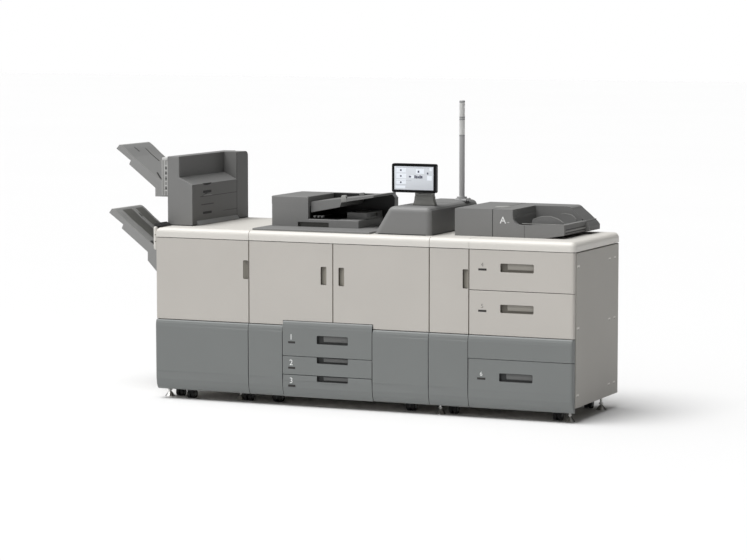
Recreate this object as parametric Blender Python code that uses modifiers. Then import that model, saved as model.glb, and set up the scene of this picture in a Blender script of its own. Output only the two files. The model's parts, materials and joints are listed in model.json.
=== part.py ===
"""Production photocopier: a finisher, a print engine and a paper feeder that stand in one row.

Lengths are in metres, X runs along the row from the finisher to the feeder, Y runs from the
operator's side to the back, and Z is up from the floor. Everything is drawn in machine
coordinates, whose zero is the finisher's left edge, the door fronts and the floor. One empty
carries the whole row and puts the middle of its footprint at the world's origin.
"""
import math

import bmesh
import bpy
from mathutils import Matrix, Vector

# ---------------------------------------------------------------- driving sizes
FINISHER_LEFT = -0.006
FINISHER_WIDTH = 0.602
ENGINE_WIDTH = 1.139
RELAY_WIDTH = 0.242
DRAWER_WIDTH = 0.634
ENGINE_DEPTH = 0.900
FEEDER_DEPTH = 0.745
SEAM = 0.003
CLEAR = 0.0003
SIDE_SKIN = 0.016

TOP_Z = 1.018
COVER_Z = 0.960
SPLIT_Z = 0.475
PANEL_Z = 0.058
CABINET_Z = 0.085
ROOF_Z = 0.957

BULGE = 0.012
DOOR_BACK = 0.026
CABINET_FRONT = 0.032
EDGE_ROUND = 0.030

ENGINE_X = FINISHER_WIDTH
RELAY_X = ENGINE_X + ENGINE_WIDTH
DRAWER_X = RELAY_X + RELAY_WIDTH
END_X = DRAWER_X + DRAWER_WIDTH
DOOR_SPLIT_X = ENGINE_X + 0.538
BANK_LEFT = ENGINE_X + 0.221
BANK_RIGHT = BANK_LEFT + 0.569
BANK_TOP = 0.503
TRAY_SPLITS = (BANK_TOP, 0.298, 0.1895)
BLANK_Z = 0.342

HINGE_IN = 0.012
HINGE_Y = -0.006

TRAY_TIP_X = -0.488
TRAY_FRONT_Y = 0.300
TRAY_WIDTH = 0.365
FENCE = 0.040
LOWER_FENCE = 0.022
FENCE_FRONT = 0.180
FENCE_BACK = 0.700
LOWER_TRAY_TIP = (-0.469, 1.092)
UPPER_TRAY_TIP = (-0.414, 1.481)
LOWER_TRAY_ROOT = FINISHER_LEFT - LOWER_FENCE - 0.002
UPPER_TRAY_ROOT = FINISHER_LEFT - FENCE - 0.001

CASTER_RADIUS = 0.030
PARKED_RADIUS = 0.0255
CASTER_LIFT = 0.001
CASTER_TRAIL = 0.020
TUB_WALL = 0.004
END_ROUND = 0.014

# ---------------------------------------------------------------- a clean scene
for old in list(bpy.data.objects):
    bpy.data.objects.remove(old, do_unlink=True)

parts = bpy.data.collections.new("photocopier")
tools = bpy.data.collections.new("cutters")
bpy.context.scene.collection.children.link(parts)
bpy.context.scene.collection.children.link(tools)

row = bpy.data.objects.new("row_origin", None)
row.location = (-(TRAY_TIP_X + END_X) / 2, -(ENGINE_DEPTH - BULGE) / 2, 0.0)
parts.objects.link(row)


def material(name, color, roughness, metallic=0.0):
    """A plain Principled material; the colour is given in linear light."""
    made = bpy.data.materials.new(name)
    made.use_nodes = True
    shader = made.node_tree.nodes["Principled BSDF"]
    shader.inputs["Base Color"].default_value = (*color, 1.0)
    shader.inputs["Roughness"].default_value = roughness
    shader.inputs["Metallic"].default_value = metallic
    made.diffuse_color = (*color, 1.0)
    return made


CREAM = material("cream_cover", (0.76, 0.74, 0.70), 0.45)
BEIGE = material("beige_panel", (0.52, 0.49, 0.45), 0.50)
GREY = material("grey_panel", (0.19, 0.20, 0.19), 0.45)
DARK = material("dark_unit", (0.16, 0.16, 0.155), 0.55)
BLACK = material("black_plastic", (0.02, 0.02, 0.02), 0.50)
GLASS = material("glass", (0.60, 0.66, 0.68), 0.05)
LENS = material("lens", (0.80, 0.80, 0.78), 0.30)
STEEL = material("zinc_steel", (0.62, 0.62, 0.60), 0.35, 1.0)
RUBBER = material("rubber", (0.03, 0.03, 0.03), 0.80)
DRUM_GREEN = material("drum_coating", (0.05, 0.22, 0.16), 0.20)


# ---------------------------------------------------------------- shape helpers
def block(low, high):
    """A bmesh box between two corners."""
    bm = bmesh.new()
    bmesh.ops.create_cube(bm, size=1.0)
    low, high = Vector(low), Vector(high)
    bmesh.ops.scale(bm, verts=bm.verts, vec=high - low)
    bmesh.ops.translate(bm, verts=bm.verts, vec=(low + high) / 2)
    return bm


def cylinder(radius, start, end, sides=20):
    """A bmesh cylinder between two points."""
    start, end = Vector(start), Vector(end)
    axis = end - start
    bm = bmesh.new()
    turn = axis.to_track_quat("Z", "Y").to_matrix().to_4x4()
    place = Matrix.Translation((start + end) / 2) @ turn
    bmesh.ops.create_cone(bm, cap_ends=True, segments=sides, radius1=radius, radius2=radius,
                          depth=axis.length, matrix=place)
    return bm


def soften(bm, wanted, width, segments=2):
    """Bevel the edges whose two ends both pass a test."""
    edges = [e for e in bm.edges if all(wanted(v.co) for v in e.verts)]
    bmesh.ops.bevel(bm, geom=edges, offset=width, segments=segments, profile=0.5, affect="EDGES")
    return bm


def near(value, target):
    return abs(value - target) < 1e-5


def solid(name, bm, look, pivot=(0.0, 0.0, 0.0)):
    """Make a named piece from a bmesh in machine coordinates, with its origin at pivot."""
    bmesh.ops.translate(bm, verts=bm.verts, vec=-Vector(pivot))
    mesh = bpy.data.meshes.new(name)
    bm.to_mesh(mesh)
    bm.free()
    mesh.materials.append(look)
    mesh.shade_smooth()
    mesh.set_sharp_from_angle(angle=math.radians(40))
    piece = bpy.data.objects.new(name, mesh)
    piece.location = pivot
    piece.parent = row
    parts.objects.link(piece)
    return piece


def tool(name, bm):
    """A cutter or a joined-on form, kept out of the parts."""
    mesh = bpy.data.meshes.new(name)
    bm.to_mesh(mesh)
    bm.free()
    made = bpy.data.objects.new(name, mesh)
    made.parent = row
    made.hide_render = True
    made.display_type = "WIRE"
    tools.objects.link(made)
    return made


def combine(piece, operation, *forms):
    """Boolean each form with a piece: DIFFERENCE cuts and UNION joins."""
    for count, form in enumerate(forms):
        name = f"{piece.name}_{operation.lower()}_{len(piece.modifiers)}_{count}"
        step = piece.modifiers.new(name, "BOOLEAN")
        step.operation = operation
        step.solver = "EXACT"
        step.object = form if isinstance(form, bpy.types.Object) else tool(name, form)
    return piece


def cut(piece, *forms):
    return combine(piece, "DIFFERENCE", *forms)


def join(piece, *forms):
    return combine(piece, "UNION", *forms)


def prism(points, axis, start, end):
    """A flat outline pulled along X (points are y, z) or along Y (points are x, z)."""
    curve = bpy.data.curves.new("outline", "CURVE")
    curve.dimensions = "2D"
    curve.fill_mode = "BOTH"
    curve.extrude = (end - start) / 2
    spline = curve.splines.new("POLY")
    spline.points.add(len(points) - 1)
    for point, (u, v) in zip(spline.points, points):
        point.co = (u, v, 0.0, 1.0)
    spline.use_cyclic_u = True
    holder = bpy.data.objects.new("outline", curve)
    tools.objects.link(holder)
    bpy.context.view_layer.update()
    mesh = bpy.data.meshes.new_from_object(holder.evaluated_get(bpy.context.evaluated_depsgraph_get()))
    bpy.data.objects.remove(holder, do_unlink=True)
    bm = bmesh.new()
    bm.from_mesh(mesh)
    bpy.data.meshes.remove(mesh)
    bmesh.ops.remove_doubles(bm, verts=bm.verts, dist=1e-6)
    middle = (start + end) / 2
    if axis == "X":
        place = Matrix(((0, 0, 1, middle), (1, 0, 0, 0), (0, 1, 0, 0), (0, 0, 0, 1)))
    else:
        place = Matrix(((1, 0, 0, 0), (0, 0, -1, middle), (0, 1, 0, 0), (0, 0, 0, 1)))
    bmesh.ops.transform(bm, matrix=place, verts=bm.verts)
    bmesh.ops.dissolve_limit(bm, angle_limit=0.001, verts=bm.verts, edges=bm.edges)
    bmesh.ops.recalc_face_normals(bm, faces=bm.faces)
    return bm


def arc(center, radius, start, end, steps):
    """Points on an arc, angles in degrees."""
    turns = [math.radians(start + (end - start) * i / steps) for i in range(steps + 1)]
    return [(center[0] + radius * math.cos(t), center[1] + radius * math.sin(t)) for t in turns]


def turned(name, profile, look, pivot, axis="Z", steps=20):
    """A turned piece. The profile is (radius, height) from top to bottom of its outer side."""
    mesh = bpy.data.meshes.new(name)
    bm = bmesh.new()
    verts = [bm.verts.new((radius, 0.0, height)) for radius, height in profile]
    for a, b in zip(verts, verts[1:]):
        bm.edges.new((a, b))
    if profile[0][0] > 0.0:
        bm.edges.new((verts[-1], verts[0]))
    bm.to_mesh(mesh)
    bm.free()
    mesh.materials.append(look)
    piece = bpy.data.objects.new(name, mesh)
    piece.location = pivot
    if axis == "Y":
        piece.rotation_euler = (math.radians(90), 0.0, 0.0)
    piece.parent = row
    spin = piece.modifiers.new("turned", "SCREW")
    spin.steps = steps
    spin.render_steps = steps
    spin.use_merge_vertices = True
    spin.merge_threshold = 0.0001
    spin.use_smooth_shade = True
    parts.objects.link(piece)
    return piece


# ---------------------------------------------------------------- repeated forms
def foot(x, y):
    """A levelling foot: a cone-shaped pad on a screw, as two overlapping forms."""
    pad = bmesh.new()
    bmesh.ops.create_cone(pad, cap_ends=True, segments=20, radius1=0.031, radius2=0.008,
                          depth=0.030, matrix=Matrix.Translation((x, y, 0.015)))
    return pad, cylinder(0.0068, (x, y, 0.020), (x, y, CABINET_Z + 0.004), 10)


def fixed_caster(x, y):
    """A parked twin-wheel caster: two wheels, the bridge between them and its stem."""
    z = PARKED_RADIUS + CASTER_LIFT
    wheels = [cylinder(PARKED_RADIUS, (x + side * 0.005, y, z), (x + side * 0.023, y, z), 16)
              for side in (-1, 1)]
    bridge = block((x - 0.007, y - 0.017, z - 0.004), (x + 0.007, y + 0.017, CABINET_Z + 0.004))
    return (bridge, *wheels)


def tub(name, low, high, look):
    """An open drawer body: a box without its top face, thickened inwards by a modifier."""
    bm = block(low, high)
    lids = [f for f in bm.faces if f.normal.z > 0.9]
    bmesh.ops.delete(bm, geom=lids, context="FACES_ONLY")
    piece = solid(name, bm, look, (0.0, low[1], 0.0))
    shell = piece.modifiers.new("walls", "SOLIDIFY")
    shell.thickness = TUB_WALL
    shell.offset = -1.0
    shell.use_even_offset = True
    return piece


def shoulder(z1):
    """The swell at the top of a lower panel, from flush with the doors to its full bulge."""
    steps = ((0.10, 0.0), (0.50, 0.007), (0.85, 0.020), (1.0, 0.036))
    return [(-BULGE * share, z1 - drop) for share, drop in steps]


def bulged_panel(x0, x1, z0, z1, back=DOOR_BACK, top=None, corner=0.0):
    """A lower panel that stands proud of the doors and curves back at its foot."""
    foot_round, curve_y = min(0.110, 0.75 * (z1 - z0)), BULGE + 0.018
    foot_curve = [(-BULGE + curve_y * (1 - math.cos(math.radians(a))),
                   z0 + foot_round * (1 - math.sin(math.radians(a)))) for a in (0, 25, 45, 65, 90)]
    foot_curve = [(min(y, back - 0.003), z) for y, z in foot_curve]
    points = [*(top or shoulder(z1)), *foot_curve, (back, z0), (back, z1)]
    bm = prism(points, "X", x0, x1)
    if corner:
        bm = soften(bm, lambda p: near(p.x, x1) and p.y < 0.004, corner, 4)
        return soften(bm, lambda p: near(p.x, x0) and p.y < -BULGE + 1e-4, 0.004)
    return soften(bm, lambda p: (near(p.x, x0) or near(p.x, x1)) and p.y < -BULGE + 1e-4, 0.004)


def flat_panel(x0, x1, z0, z1, corner=0.0):
    """A flat door or drawer front with softened outer edges."""
    bm = block((x0, 0.0, z0), (x1, DOOR_BACK, z1))
    if corner:
        bm = soften(bm, lambda p: near(p.x, x1) and near(p.y, 0.0), corner, 4)
    return soften(bm, lambda p: near(p.y, 0.0), 0.003)


def slot(x0, x1, z0, z1, depth, front=0.0):
    """A cutter for a finger recess with rounded corners, open to the front."""
    bm = block((x0, front - 0.03, z0), (x1, front + depth, z1))
    edges = [e for e in bm.edges if abs(e.verts[0].co.y - e.verts[1].co.y) > 0.001]
    bmesh.ops.bevel(bm, geom=edges, offset=0.006, segments=3, profile=0.5, affect="EDGES")
    return bm


# ---------------------------------------------------------------- cabinets and covers
def cabinet(name, x0, x1, depth, bays):
    """A module's frame and skins, as one box opened by its bays."""
    body = soften(block((x0, CABINET_FRONT, CABINET_Z), (x1, depth, ROOF_Z)),
                  lambda p: near(p.y, depth), 0.004)
    piece = solid(name, body, BEIGE)
    for low, high in bays:
        cut(piece, block(low, high))
    return piece


def front_bay(x0, x1, back, z0, z1):
    return (x0, CABINET_FRONT - 0.05, z0), (x1, back, z1)


def top_cover(name, x0, x1, depth, round_left, round_right):
    """A moulded top: a rounded front edge, rounded outer ends, hollow from below."""
    bm = block((x0, -0.001, COVER_Z + 0.0015), (x1, depth, TOP_Z))

    def upper_edge(p):
        return near(p.z, TOP_Z)

    edges = []
    for edge in bm.edges:
        a, b = edge.verts[0].co, edge.verts[1].co
        if not (upper_edge(a) and upper_edge(b)):
            continue
        front = near(a.y, -0.001) and near(b.y, -0.001)
        left = near(a.x, x0) and near(b.x, x0) and round_left
        right = near(a.x, x1) and near(b.x, x1) and round_right
        if front or left or right:
            edges.append(edge)
    if round_right:
        edges += [e for e in bm.edges if all(near(v.co.x, x1) and near(v.co.y, -0.001) for v in e.verts)]
    bmesh.ops.bevel(bm, geom=edges, offset=EDGE_ROUND, segments=6, profile=0.5, affect="EDGES")
    piece = solid(name, bm, CREAM)
    wall = 0.012
    return cut(piece, block((x0 + wall, 0.040, COVER_Z - 0.02),
                            (x1 - wall, depth - wall, TOP_Z - wall)))


def finisher():
    x0, x1 = FINISHER_LEFT, ENGINE_X - SEAM / 2
    exit_low, exit_high = (-0.08, TRAY_FRONT_Y, 0.880), (0.060, TRAY_FRONT_Y + TRAY_WIDTH, 0.925)
    body = cabinet("finisher_cabinet", x0, x1, ENGINE_DEPTH,
                   [front_bay(0.030, 0.572, 0.860, 0.115, 0.930)])
    fence = soften(block((x0 - LOWER_FENCE, 0.050, 0.560), (x0 + 0.001, 0.720, 0.950)),
                   lambda p: p.x < x0 - 0.01, 0.012, 3)
    join(body, fence)
    cut(body, block(exit_low, exit_high))
    for x, y in ((0.014, 0.125), (0.474, 0.150), (0.030, 0.820), (0.560, 0.820)):
        join(body, *foot(x, y))
    for x, y in ((0.076, 0.150), (0.181, 0.090), (0.537, 0.130), (0.110, 0.800)):
        join(body, *fixed_caster(x, y))
    top_cover("finisher_top_cover", x0, x1, ENGINE_DEPTH, True, False)
    hinge = (x0 + HINGE_IN, HINGE_Y, 0.5)
    upper = solid("finisher_door_upper",
                  flat_panel(x0, x1, SPLIT_Z + SEAM / 2, COVER_Z - SEAM / 2), BEIGE, hinge)
    cut(upper, slot(0.565, 0.5985, 0.734, 0.843, 0.015))
    solid("finisher_door_lower", bulged_panel(x0, x1, PANEL_Z, SPLIT_Z - SEAM / 2), GREY, hinge)


def tower():
    """The dark output tower: a stepped casing with a full-height pillar at its back."""
    base, top, left, right = TOP_Z + CLEAR, 1.428, -0.006, 0.157
    shelf_high, shelf_low, neck_x, front, back = 1.305, 1.262, 0.071, 0.150, 0.898
    pillar = 0.745
    steps = [(left, base), (right, base), (right, shelf_low), (neck_x, shelf_high),
             (neck_x, top), (left, top)]
    piece = solid("finisher_tower", soften(prism(steps, "Y", front, back),
                                           lambda p: p.z > shelf_low - 0.01 and p.y < front + 1e-4,
                                           0.004), DARK)
    rear = block((left, pillar, base), (right, back, top))
    rear = soften(rear, lambda p: near(p.z, top) and near(p.y, back), 0.030, 5)
    join(piece, rear)
    hollow_low = block((0.004, front + 0.02, base - 0.02), (right - 0.010, pillar, shelf_low - 0.02))
    hollow_high = block((0.004, front + 0.02, 1.10), (neck_x - 0.010, pillar, top - 0.012))
    fence = soften(block((left - FENCE, FENCE_FRONT, 1.192), (left + 0.001, FENCE_BACK, 1.420)),
                   lambda p: p.x < left - 0.01, 0.010, 3)
    join(piece, fence)
    mouth = block((left - 0.08, TRAY_FRONT_Y, 1.330), (0.020, TRAY_FRONT_Y + TRAY_WIDTH, 1.395))
    cut(piece, hollow_low, hollow_high, mouth)


def stack_tray(name, tip, root_x, carriage):
    """A slanting output tray, drawn from its tip, with a carriage of that depth under its root."""
    x, z = tip
    reach, slope = root_x - x, 0.72
    keel = -0.275 - carriage
    outline = [(0.0, 0.0), (0.016, -0.004), (0.040, -0.022), (0.095, -0.070), (0.239, -0.180),
               (reach, -0.180 - slope * (reach - 0.239)), (reach, keel), (reach - 0.120, keel),
               (0.244, max(keel, -0.305)), (0.244, -0.253), (0.067, -0.116), (0.078, -0.093),
               (-0.019, -0.023)]
    bm = prism([(x + dx, z + dz) for dx, dz in reversed(outline)], "Y", TRAY_FRONT_Y,
               TRAY_FRONT_Y + TRAY_WIDTH)
    solid(name, bm, DARK)


# ---------------------------------------------------------------- print engine
def engine():
    x0, x1 = ENGINE_X + SEAM / 2, RELAY_X - SEAM / 2
    wall_x = BANK_LEFT - 0.008
    wall_end = BANK_RIGHT + 0.008
    bays = [front_bay(x0 + 0.026, x1 - 0.026, 0.800, 0.530, 0.930),
            front_bay(wall_x, wall_end, 0.800, 0.100, 0.505),
            front_bay(x0 + 0.026, wall_x - 0.020, 0.800, 0.110, 0.505),
            front_bay(wall_end + 0.020, x1 - 0.026, 0.800, 0.110, 0.505)]
    cabinet("engine_cabinet", x0, x1, ENGINE_DEPTH, bays)
    top = top_cover("engine_top_cover", x0, x1, ENGINE_DEPTH, False, False)
    cut(top, block((0.670, 0.290, 0.980), (1.110, 0.600, 1.030)))
    engine_doors(x0, x1)
    paper_trays()
    for count, (x, y) in enumerate(((0.723, 0.125), (1.578, 0.115), (0.723, 0.790), (1.578, 0.790))):
        swivel_caster(count + 1, x, y)


def engine_doors(x0, x1):
    """Two front doors that step around the tray bank, each a light and a grey panel."""
    middle = DOOR_SPLIT_X
    left_hinge = (ENGINE_X + HINGE_IN, HINGE_Y, 0.5)
    right_hinge = (RELAY_X - HINGE_IN, HINGE_Y, 0.5)
    low, high = SPLIT_Z + SEAM / 2, COVER_Z - SEAM / 2
    bank = block((BANK_LEFT - SEAM / 2, -0.05, 0.40), (BANK_RIGHT + SEAM / 2, 0.05, BANK_TOP + SEAM / 2))
    left = solid("left_door_upper", flat_panel(x0, middle - SEAM / 2, low, high), BEIGE, left_hinge)
    notch = tool("tray_bank_notch", bank)
    cut(left, notch, slot(1.063, 1.100, 0.719, 0.824, 0.015))
    right = solid("right_door_upper", flat_panel(middle + SEAM / 2, x1, low, high), BEIGE, right_hinge)
    cut(right, notch, slot(1.176, 1.212, 0.717, 0.823, 0.015))
    solid("left_door_lower", bulged_panel(x0, BANK_LEFT - SEAM / 2, PANEL_Z, SPLIT_Z - SEAM / 2),
          GREY, left_hinge)
    solid("right_door_lower", bulged_panel(BANK_RIGHT + SEAM / 2, x1, PANEL_Z, SPLIT_Z - SEAM / 2),
          GREY, right_hinge)


def paper_trays():
    """Three drawers: a front with a finger recess and an open tub behind it."""
    x0, x1 = BANK_LEFT + SEAM / 2, BANK_RIGHT - SEAM / 2
    grip = (1.043, 1.240)
    grip_low = (0.375, 0.262, 0.155)
    tub_floor = (0.312, 0.202, 0.108)
    back = 0.0125
    for count in range(3):
        high = TRAY_SPLITS[count] - SEAM / 2
        low = TRAY_SPLITS[count + 1] + SEAM / 2 if count < 2 else PANEL_Z
        flat_top = [(-BULGE, high)]
        if count == 2:
            bm = bulged_panel(x0, x1, low, high, back, flat_top)
        else:
            top = shoulder(high) if count == 0 else flat_top
            bm = soften(prism([*top, (-BULGE, low), (back, low), (back, high)], "X", x0, x1),
                        lambda p: near(p.y, -BULGE), 0.0015)
        front = solid(f"paper_tray_{count + 1}_front", bm, GREY)
        grip_high = 0.424 if count == 0 else high + 0.01
        cut(front, slot(*grip, grip_low[count], grip_high, 0.016, -BULGE))
        tub(f"paper_tray_{count + 1}_tub", (x0 + 0.012, back + CLEAR, tub_floor[count]),
            (x1 - 0.012, 0.620, high - 0.016), BLACK)


def swivel_caster(number, x, y):
    """A caster: a fork that turns about its stem and two wheels on one axle."""
    axle_y = y + CASTER_TRAIL
    z = CASTER_RADIUS + CASTER_LIFT
    fork = solid(f"caster_{number}_fork",
                 block((x - 0.004, y - 0.010, z - 0.010), (x + 0.004, axle_y + 0.014, 0.071)),
                 BLACK, (x, y, CABINET_Z))
    join(fork, cylinder(0.024, (x, y, 0.067), (x, y, CABINET_Z - CLEAR), 20))
    cut(fork, cylinder(0.0045, (x - 0.03, axle_y, z), (x + 0.03, axle_y, z), 12))
    wheels = solid(f"caster_{number}_wheels",
                   cylinder(0.004, (x - 0.020, axle_y, z), (x + 0.020, axle_y, z), 10),
                   RUBBER, (x, axle_y, z))
    for side in (-1, 1):
        tyre = cylinder(CASTER_RADIUS, (x + side * 0.0050, axle_y, z), (x + side * 0.0270, axle_y, z), 24)
        join(wheels, soften(tyre, lambda p: abs(p.x - x) > 0.02, 0.003, 2))


def scanner():
    """The dark deck with its glass, and the document feeder that closes over it."""
    floor, deck_top = TOP_Z + CLEAR, 1.030
    deck = soften(block((0.606, 0.042, floor), (1.352, 0.780, deck_top)),
                  lambda p: near(p.z, deck_top), 0.003)
    deck = solid("scanner_deck", deck, DARK)
    glass_low, glass_high = (0.690, 0.310), (1.090, 0.580)
    cut(deck, block((*glass_low, 1.000), (*glass_high, 1.060)))
    solid("platen_glass", block((glass_low[0] + CLEAR, glass_low[1] + CLEAR, 1.0255),
                                (glass_high[0] - CLEAR, glass_high[1] - CLEAR, deck_top)), GLASS)
    solid("scan_carriage", soften(block((0.700, 0.300, 0.966), (0.760, 0.590, 0.996)),
                                  lambda p: p.z > 0.99, 0.004), BLACK, (0.730, 0.445, 0.981))


def document_feeder():
    """The lid over the glass, with the feed unit on its left and a sheet tray above it."""
    floor = 1.0305
    left, joint_x, right = 0.632, 0.868, 1.190
    front, back = 0.250, 0.665
    hinge = (0.980, back, 1.042)
    body_top, cover_z, wall_y = 1.207, 1.158, 0.612
    lid = solid("feeder_lid", soften(block((left, front, floor), (joint_x, back, cover_z - CLEAR)),
                                     lambda p: near(p.x, left), 0.003), DARK, hinge)
    slab = soften(block((joint_x - 0.01, front, floor), (right, back, 1.076)),
                  lambda p: near(p.z, 1.076) and (near(p.y, front) or near(p.x, right)), 0.004)
    stop = soften(block((1.060, front + 0.130, 1.070), (right - 0.006, wall_y + 0.002, 1.112)),
                  lambda p: near(p.z, 1.114) and not near(p.y, wall_y + 0.002), 0.006)
    wall = [(joint_x - 0.01, 1.040), (right, 1.040), (1.264, 1.118), (1.264, 1.188), (1.248, body_top),
            (joint_x + CLEAR, body_top), (joint_x + CLEAR, 1.150), (joint_x - 0.01, 1.150)]
    join(lid, slab, stop, prism(wall, "Y", wall_y, back))
    cut(lid, block((0.800, front - 0.02, floor - 0.01), (1.000, front + 0.022, 1.058)),
        block((right - 0.020, front + 0.185, 1.084), (right + 0.02, front + 0.300, 1.104)))

    cover_hinge = (left, front, cover_z)
    cover = soften(block((left, front, cover_z), (joint_x, back, body_top)),
                   lambda p: near(p.z, body_top), 0.005)
    solid("feed_cover", cover, DARK, cover_hinge)

    sheet_hinge = (joint_x + 0.010, front, 1.168)
    points = [(joint_x + 0.004, 1.176), (joint_x + 0.004, 1.113), (joint_x + 0.190, 1.150),
              (joint_x + 0.198, 1.176), (1.272, 1.211), (1.272, 1.223), (1.060, 1.197)]
    solid("feeder_input_tray", prism(points, "Y", front + 0.030, wall_y - 0.002), DARK, sheet_hinge)


def operator_panel():
    """A rounded housing with a slanted left flank, and the screen on its neck."""
    base, top, left, right, front, back = TOP_Z + CLEAR, 1.180, 1.362, 1.717, 0.075, 0.790
    round_off = 0.034
    outline = [(left, base), (right, base),
               *arc((right - round_off, top - round_off), round_off, 0, 90, 4),
               *arc((1.486, top - 0.045), 0.045, 90, 146, 4)]
    housing = prism(outline, "Y", front, back)
    rim = [e for e in housing.edges if all(v.co.y < front + 1e-4 for v in e.verts)
           and any(v.co.z > base + 1e-4 for v in e.verts)]
    bmesh.ops.bevel(housing, geom=rim, offset=0.032, segments=6, profile=0.5, affect="EDGES")
    solid("panel_housing", housing, DARK)

    neck_x, neck_y = 1.617, 0.232
    neck = soften(block((neck_x - 0.057, neck_y - 0.016, top + CLEAR), (neck_x + 0.057, neck_y + 0.016, 1.318)),
                  lambda p: True, 0.005)
    solid("panel_neck", neck, DARK, (neck_x, neck_y, top))
    screen_left, screen_right, low, high = 1.4325, 1.7065, 1.254, 1.420
    plate = block((screen_left, 0.180, low), (screen_right, 0.208, high))
    corners = [e for e in plate.edges if abs(e.verts[0].co.y - e.verts[1].co.y) > 0.001]
    bmesh.ops.bevel(plate, geom=corners, offset=0.010, segments=3, profile=0.5, affect="EDGES")
    tilt_y, tilt_z = 0.228, 1.318
    screen = solid("touch_screen", plate, BLACK, (neck_x, tilt_y, tilt_z))
    for side in (-1, 1):
        inner, outer = neck_x + side * 0.0575, neck_x + side * 0.0665
        join(screen, block((min(inner, outer), 0.204, tilt_z - 0.012),
                           (max(inner, outer), tilt_y + 0.012, tilt_z + 0.012)))


def signal_tower():
    x, y, base = 1.675, 0.655, 1.180 + CLEAR
    pole, core = 0.0162, 0.006
    lens_low, disc_low, disc_high, lens_high, top = 1.567, 1.656, 1.672, 1.757, 1.769
    profile = [(0.0, top), (pole - 0.003, top), (pole, top - 0.003), (pole, lens_high),
               (core, lens_high), (core, disc_high), (pole, disc_high), (pole, disc_low),
               (core, disc_low), (core, lens_low), (pole, lens_low), (pole, 1.190), (0.0, 1.190)]
    post = turned("signal_pole", profile, DARK, (x, y, 0.0), steps=20)
    plate = soften(block((x - 0.034, y - 0.030, base), (x + 0.038, y + 0.050, 1.193)),
                   lambda p: near(p.z, 1.193), 0.005)
    collar = cylinder(0.030, (x, y, 1.188), (x, y, 1.204), 24)
    join(post, plate, collar)
    for name, low, high in (("lower", lens_low, disc_low), ("upper", disc_high, lens_high)):
        ring = [(pole, high - CLEAR), (pole, low + CLEAR), (core + 0.002, low + CLEAR),
                (core + 0.002, high - CLEAR)]
        turned(f"signal_lens_{name}", ring, LENS, (x, y, 0.0), steps=20)


def print_works():
    """What turns inside the engine: drum, toner bottle and the two fuser rollers."""
    back_wall = 0.7985
    shaft = 0.008

    def roller(name, x, z, radius, front, back, look):
        length = back_wall - front
        face = back_wall - back
        profile = [(0.0, length), (shaft, length), (shaft, length - 0.018), (radius, length - 0.018),
                   (radius, face), (shaft, face), (shaft, 0.0), (0.0, 0.0)]
        turned(name, profile, look, (x, back_wall, z), "Y")

    roller("photoconductor_drum", 1.250, 0.700, 0.050, 0.110, 0.560, DRUM_GREEN)
    roller("fuser_roller", 0.950, 0.7404, 0.030, 0.110, 0.580, STEEL)
    roller("pressure_roller", 0.950, 0.6800, 0.030, 0.110, 0.580, RUBBER)
    roller("toner_bottle", 0.760, 0.850, 0.050, 0.100, 0.600, BLACK)
    solid("laser_unit", soften(block((1.100, 0.120, 0.800), (1.460, 0.560, 0.890)),
                               lambda p: near(p.y, 0.120), 0.004), STEEL)


# ---------------------------------------------------------------- paper feeder
def paper_feeder():
    x0, x1 = RELAY_X + SEAM / 2, END_X - SIDE_SKIN
    inner = DRAWER_X + 0.012
    bays = [front_bay(x0 + 0.018, DRAWER_X - 0.018, 0.690, 0.105, 0.930),
            front_bay(inner, x1 - 0.018, 0.690, 0.482, 0.935),
            front_bay(inner, x1 - 0.018, 0.690, 0.105, 0.336),
            front_bay(inner, x1 - 0.018, 0.690, 0.352, 0.464)]
    body = cabinet("feeder_cabinet", x0, x1 - CLEAR, FEEDER_DEPTH, bays)
    for x, y in ((1.781, 0.078), (2.559, 0.094), (1.790, 0.650), (2.563, 0.610)):
        join(body, *foot(x, y))
    for x, y in ((1.847, 0.120), (2.484, 0.110), (1.860, 0.640), (2.480, 0.635)):
        join(body, *fixed_caster(x, y))
    cover = top_cover("feeder_top_cover", x0, END_X, FEEDER_DEPTH, False, True)
    groove = 0.003
    cut(cover, block((DRAWER_X - groove / 2, -0.05, TOP_Z - groove), (DRAWER_X + groove / 2, 0.80, 1.1)),
        block((DRAWER_X - groove / 2, -0.05, 0.9), (DRAWER_X + groove / 2, 0.002, 1.1)))
    side = soften(block((x1, 0.030, CABINET_Z), (END_X, FEEDER_DEPTH, ROOF_Z)),
                  lambda p: near(p.x, END_X), 0.004)
    solid("feeder_side_cover", side, BEIGE)
    hinge = (RELAY_X + HINGE_IN, HINGE_Y, 0.5)
    door_x1 = DRAWER_X - SEAM / 2
    upper = solid("relay_door_upper",
                  flat_panel(x0, door_x1, SPLIT_Z + SEAM / 2, COVER_Z - SEAM / 2), BEIGE, hinge)
    cut(upper, slot(1.945, 1.979, 0.735, 0.844, 0.015))
    solid("relay_door_lower", bulged_panel(x0, door_x1, PANEL_Z, SPLIT_Z - SEAM / 2), GREY, hinge)
    feeder_drawers()


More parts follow.
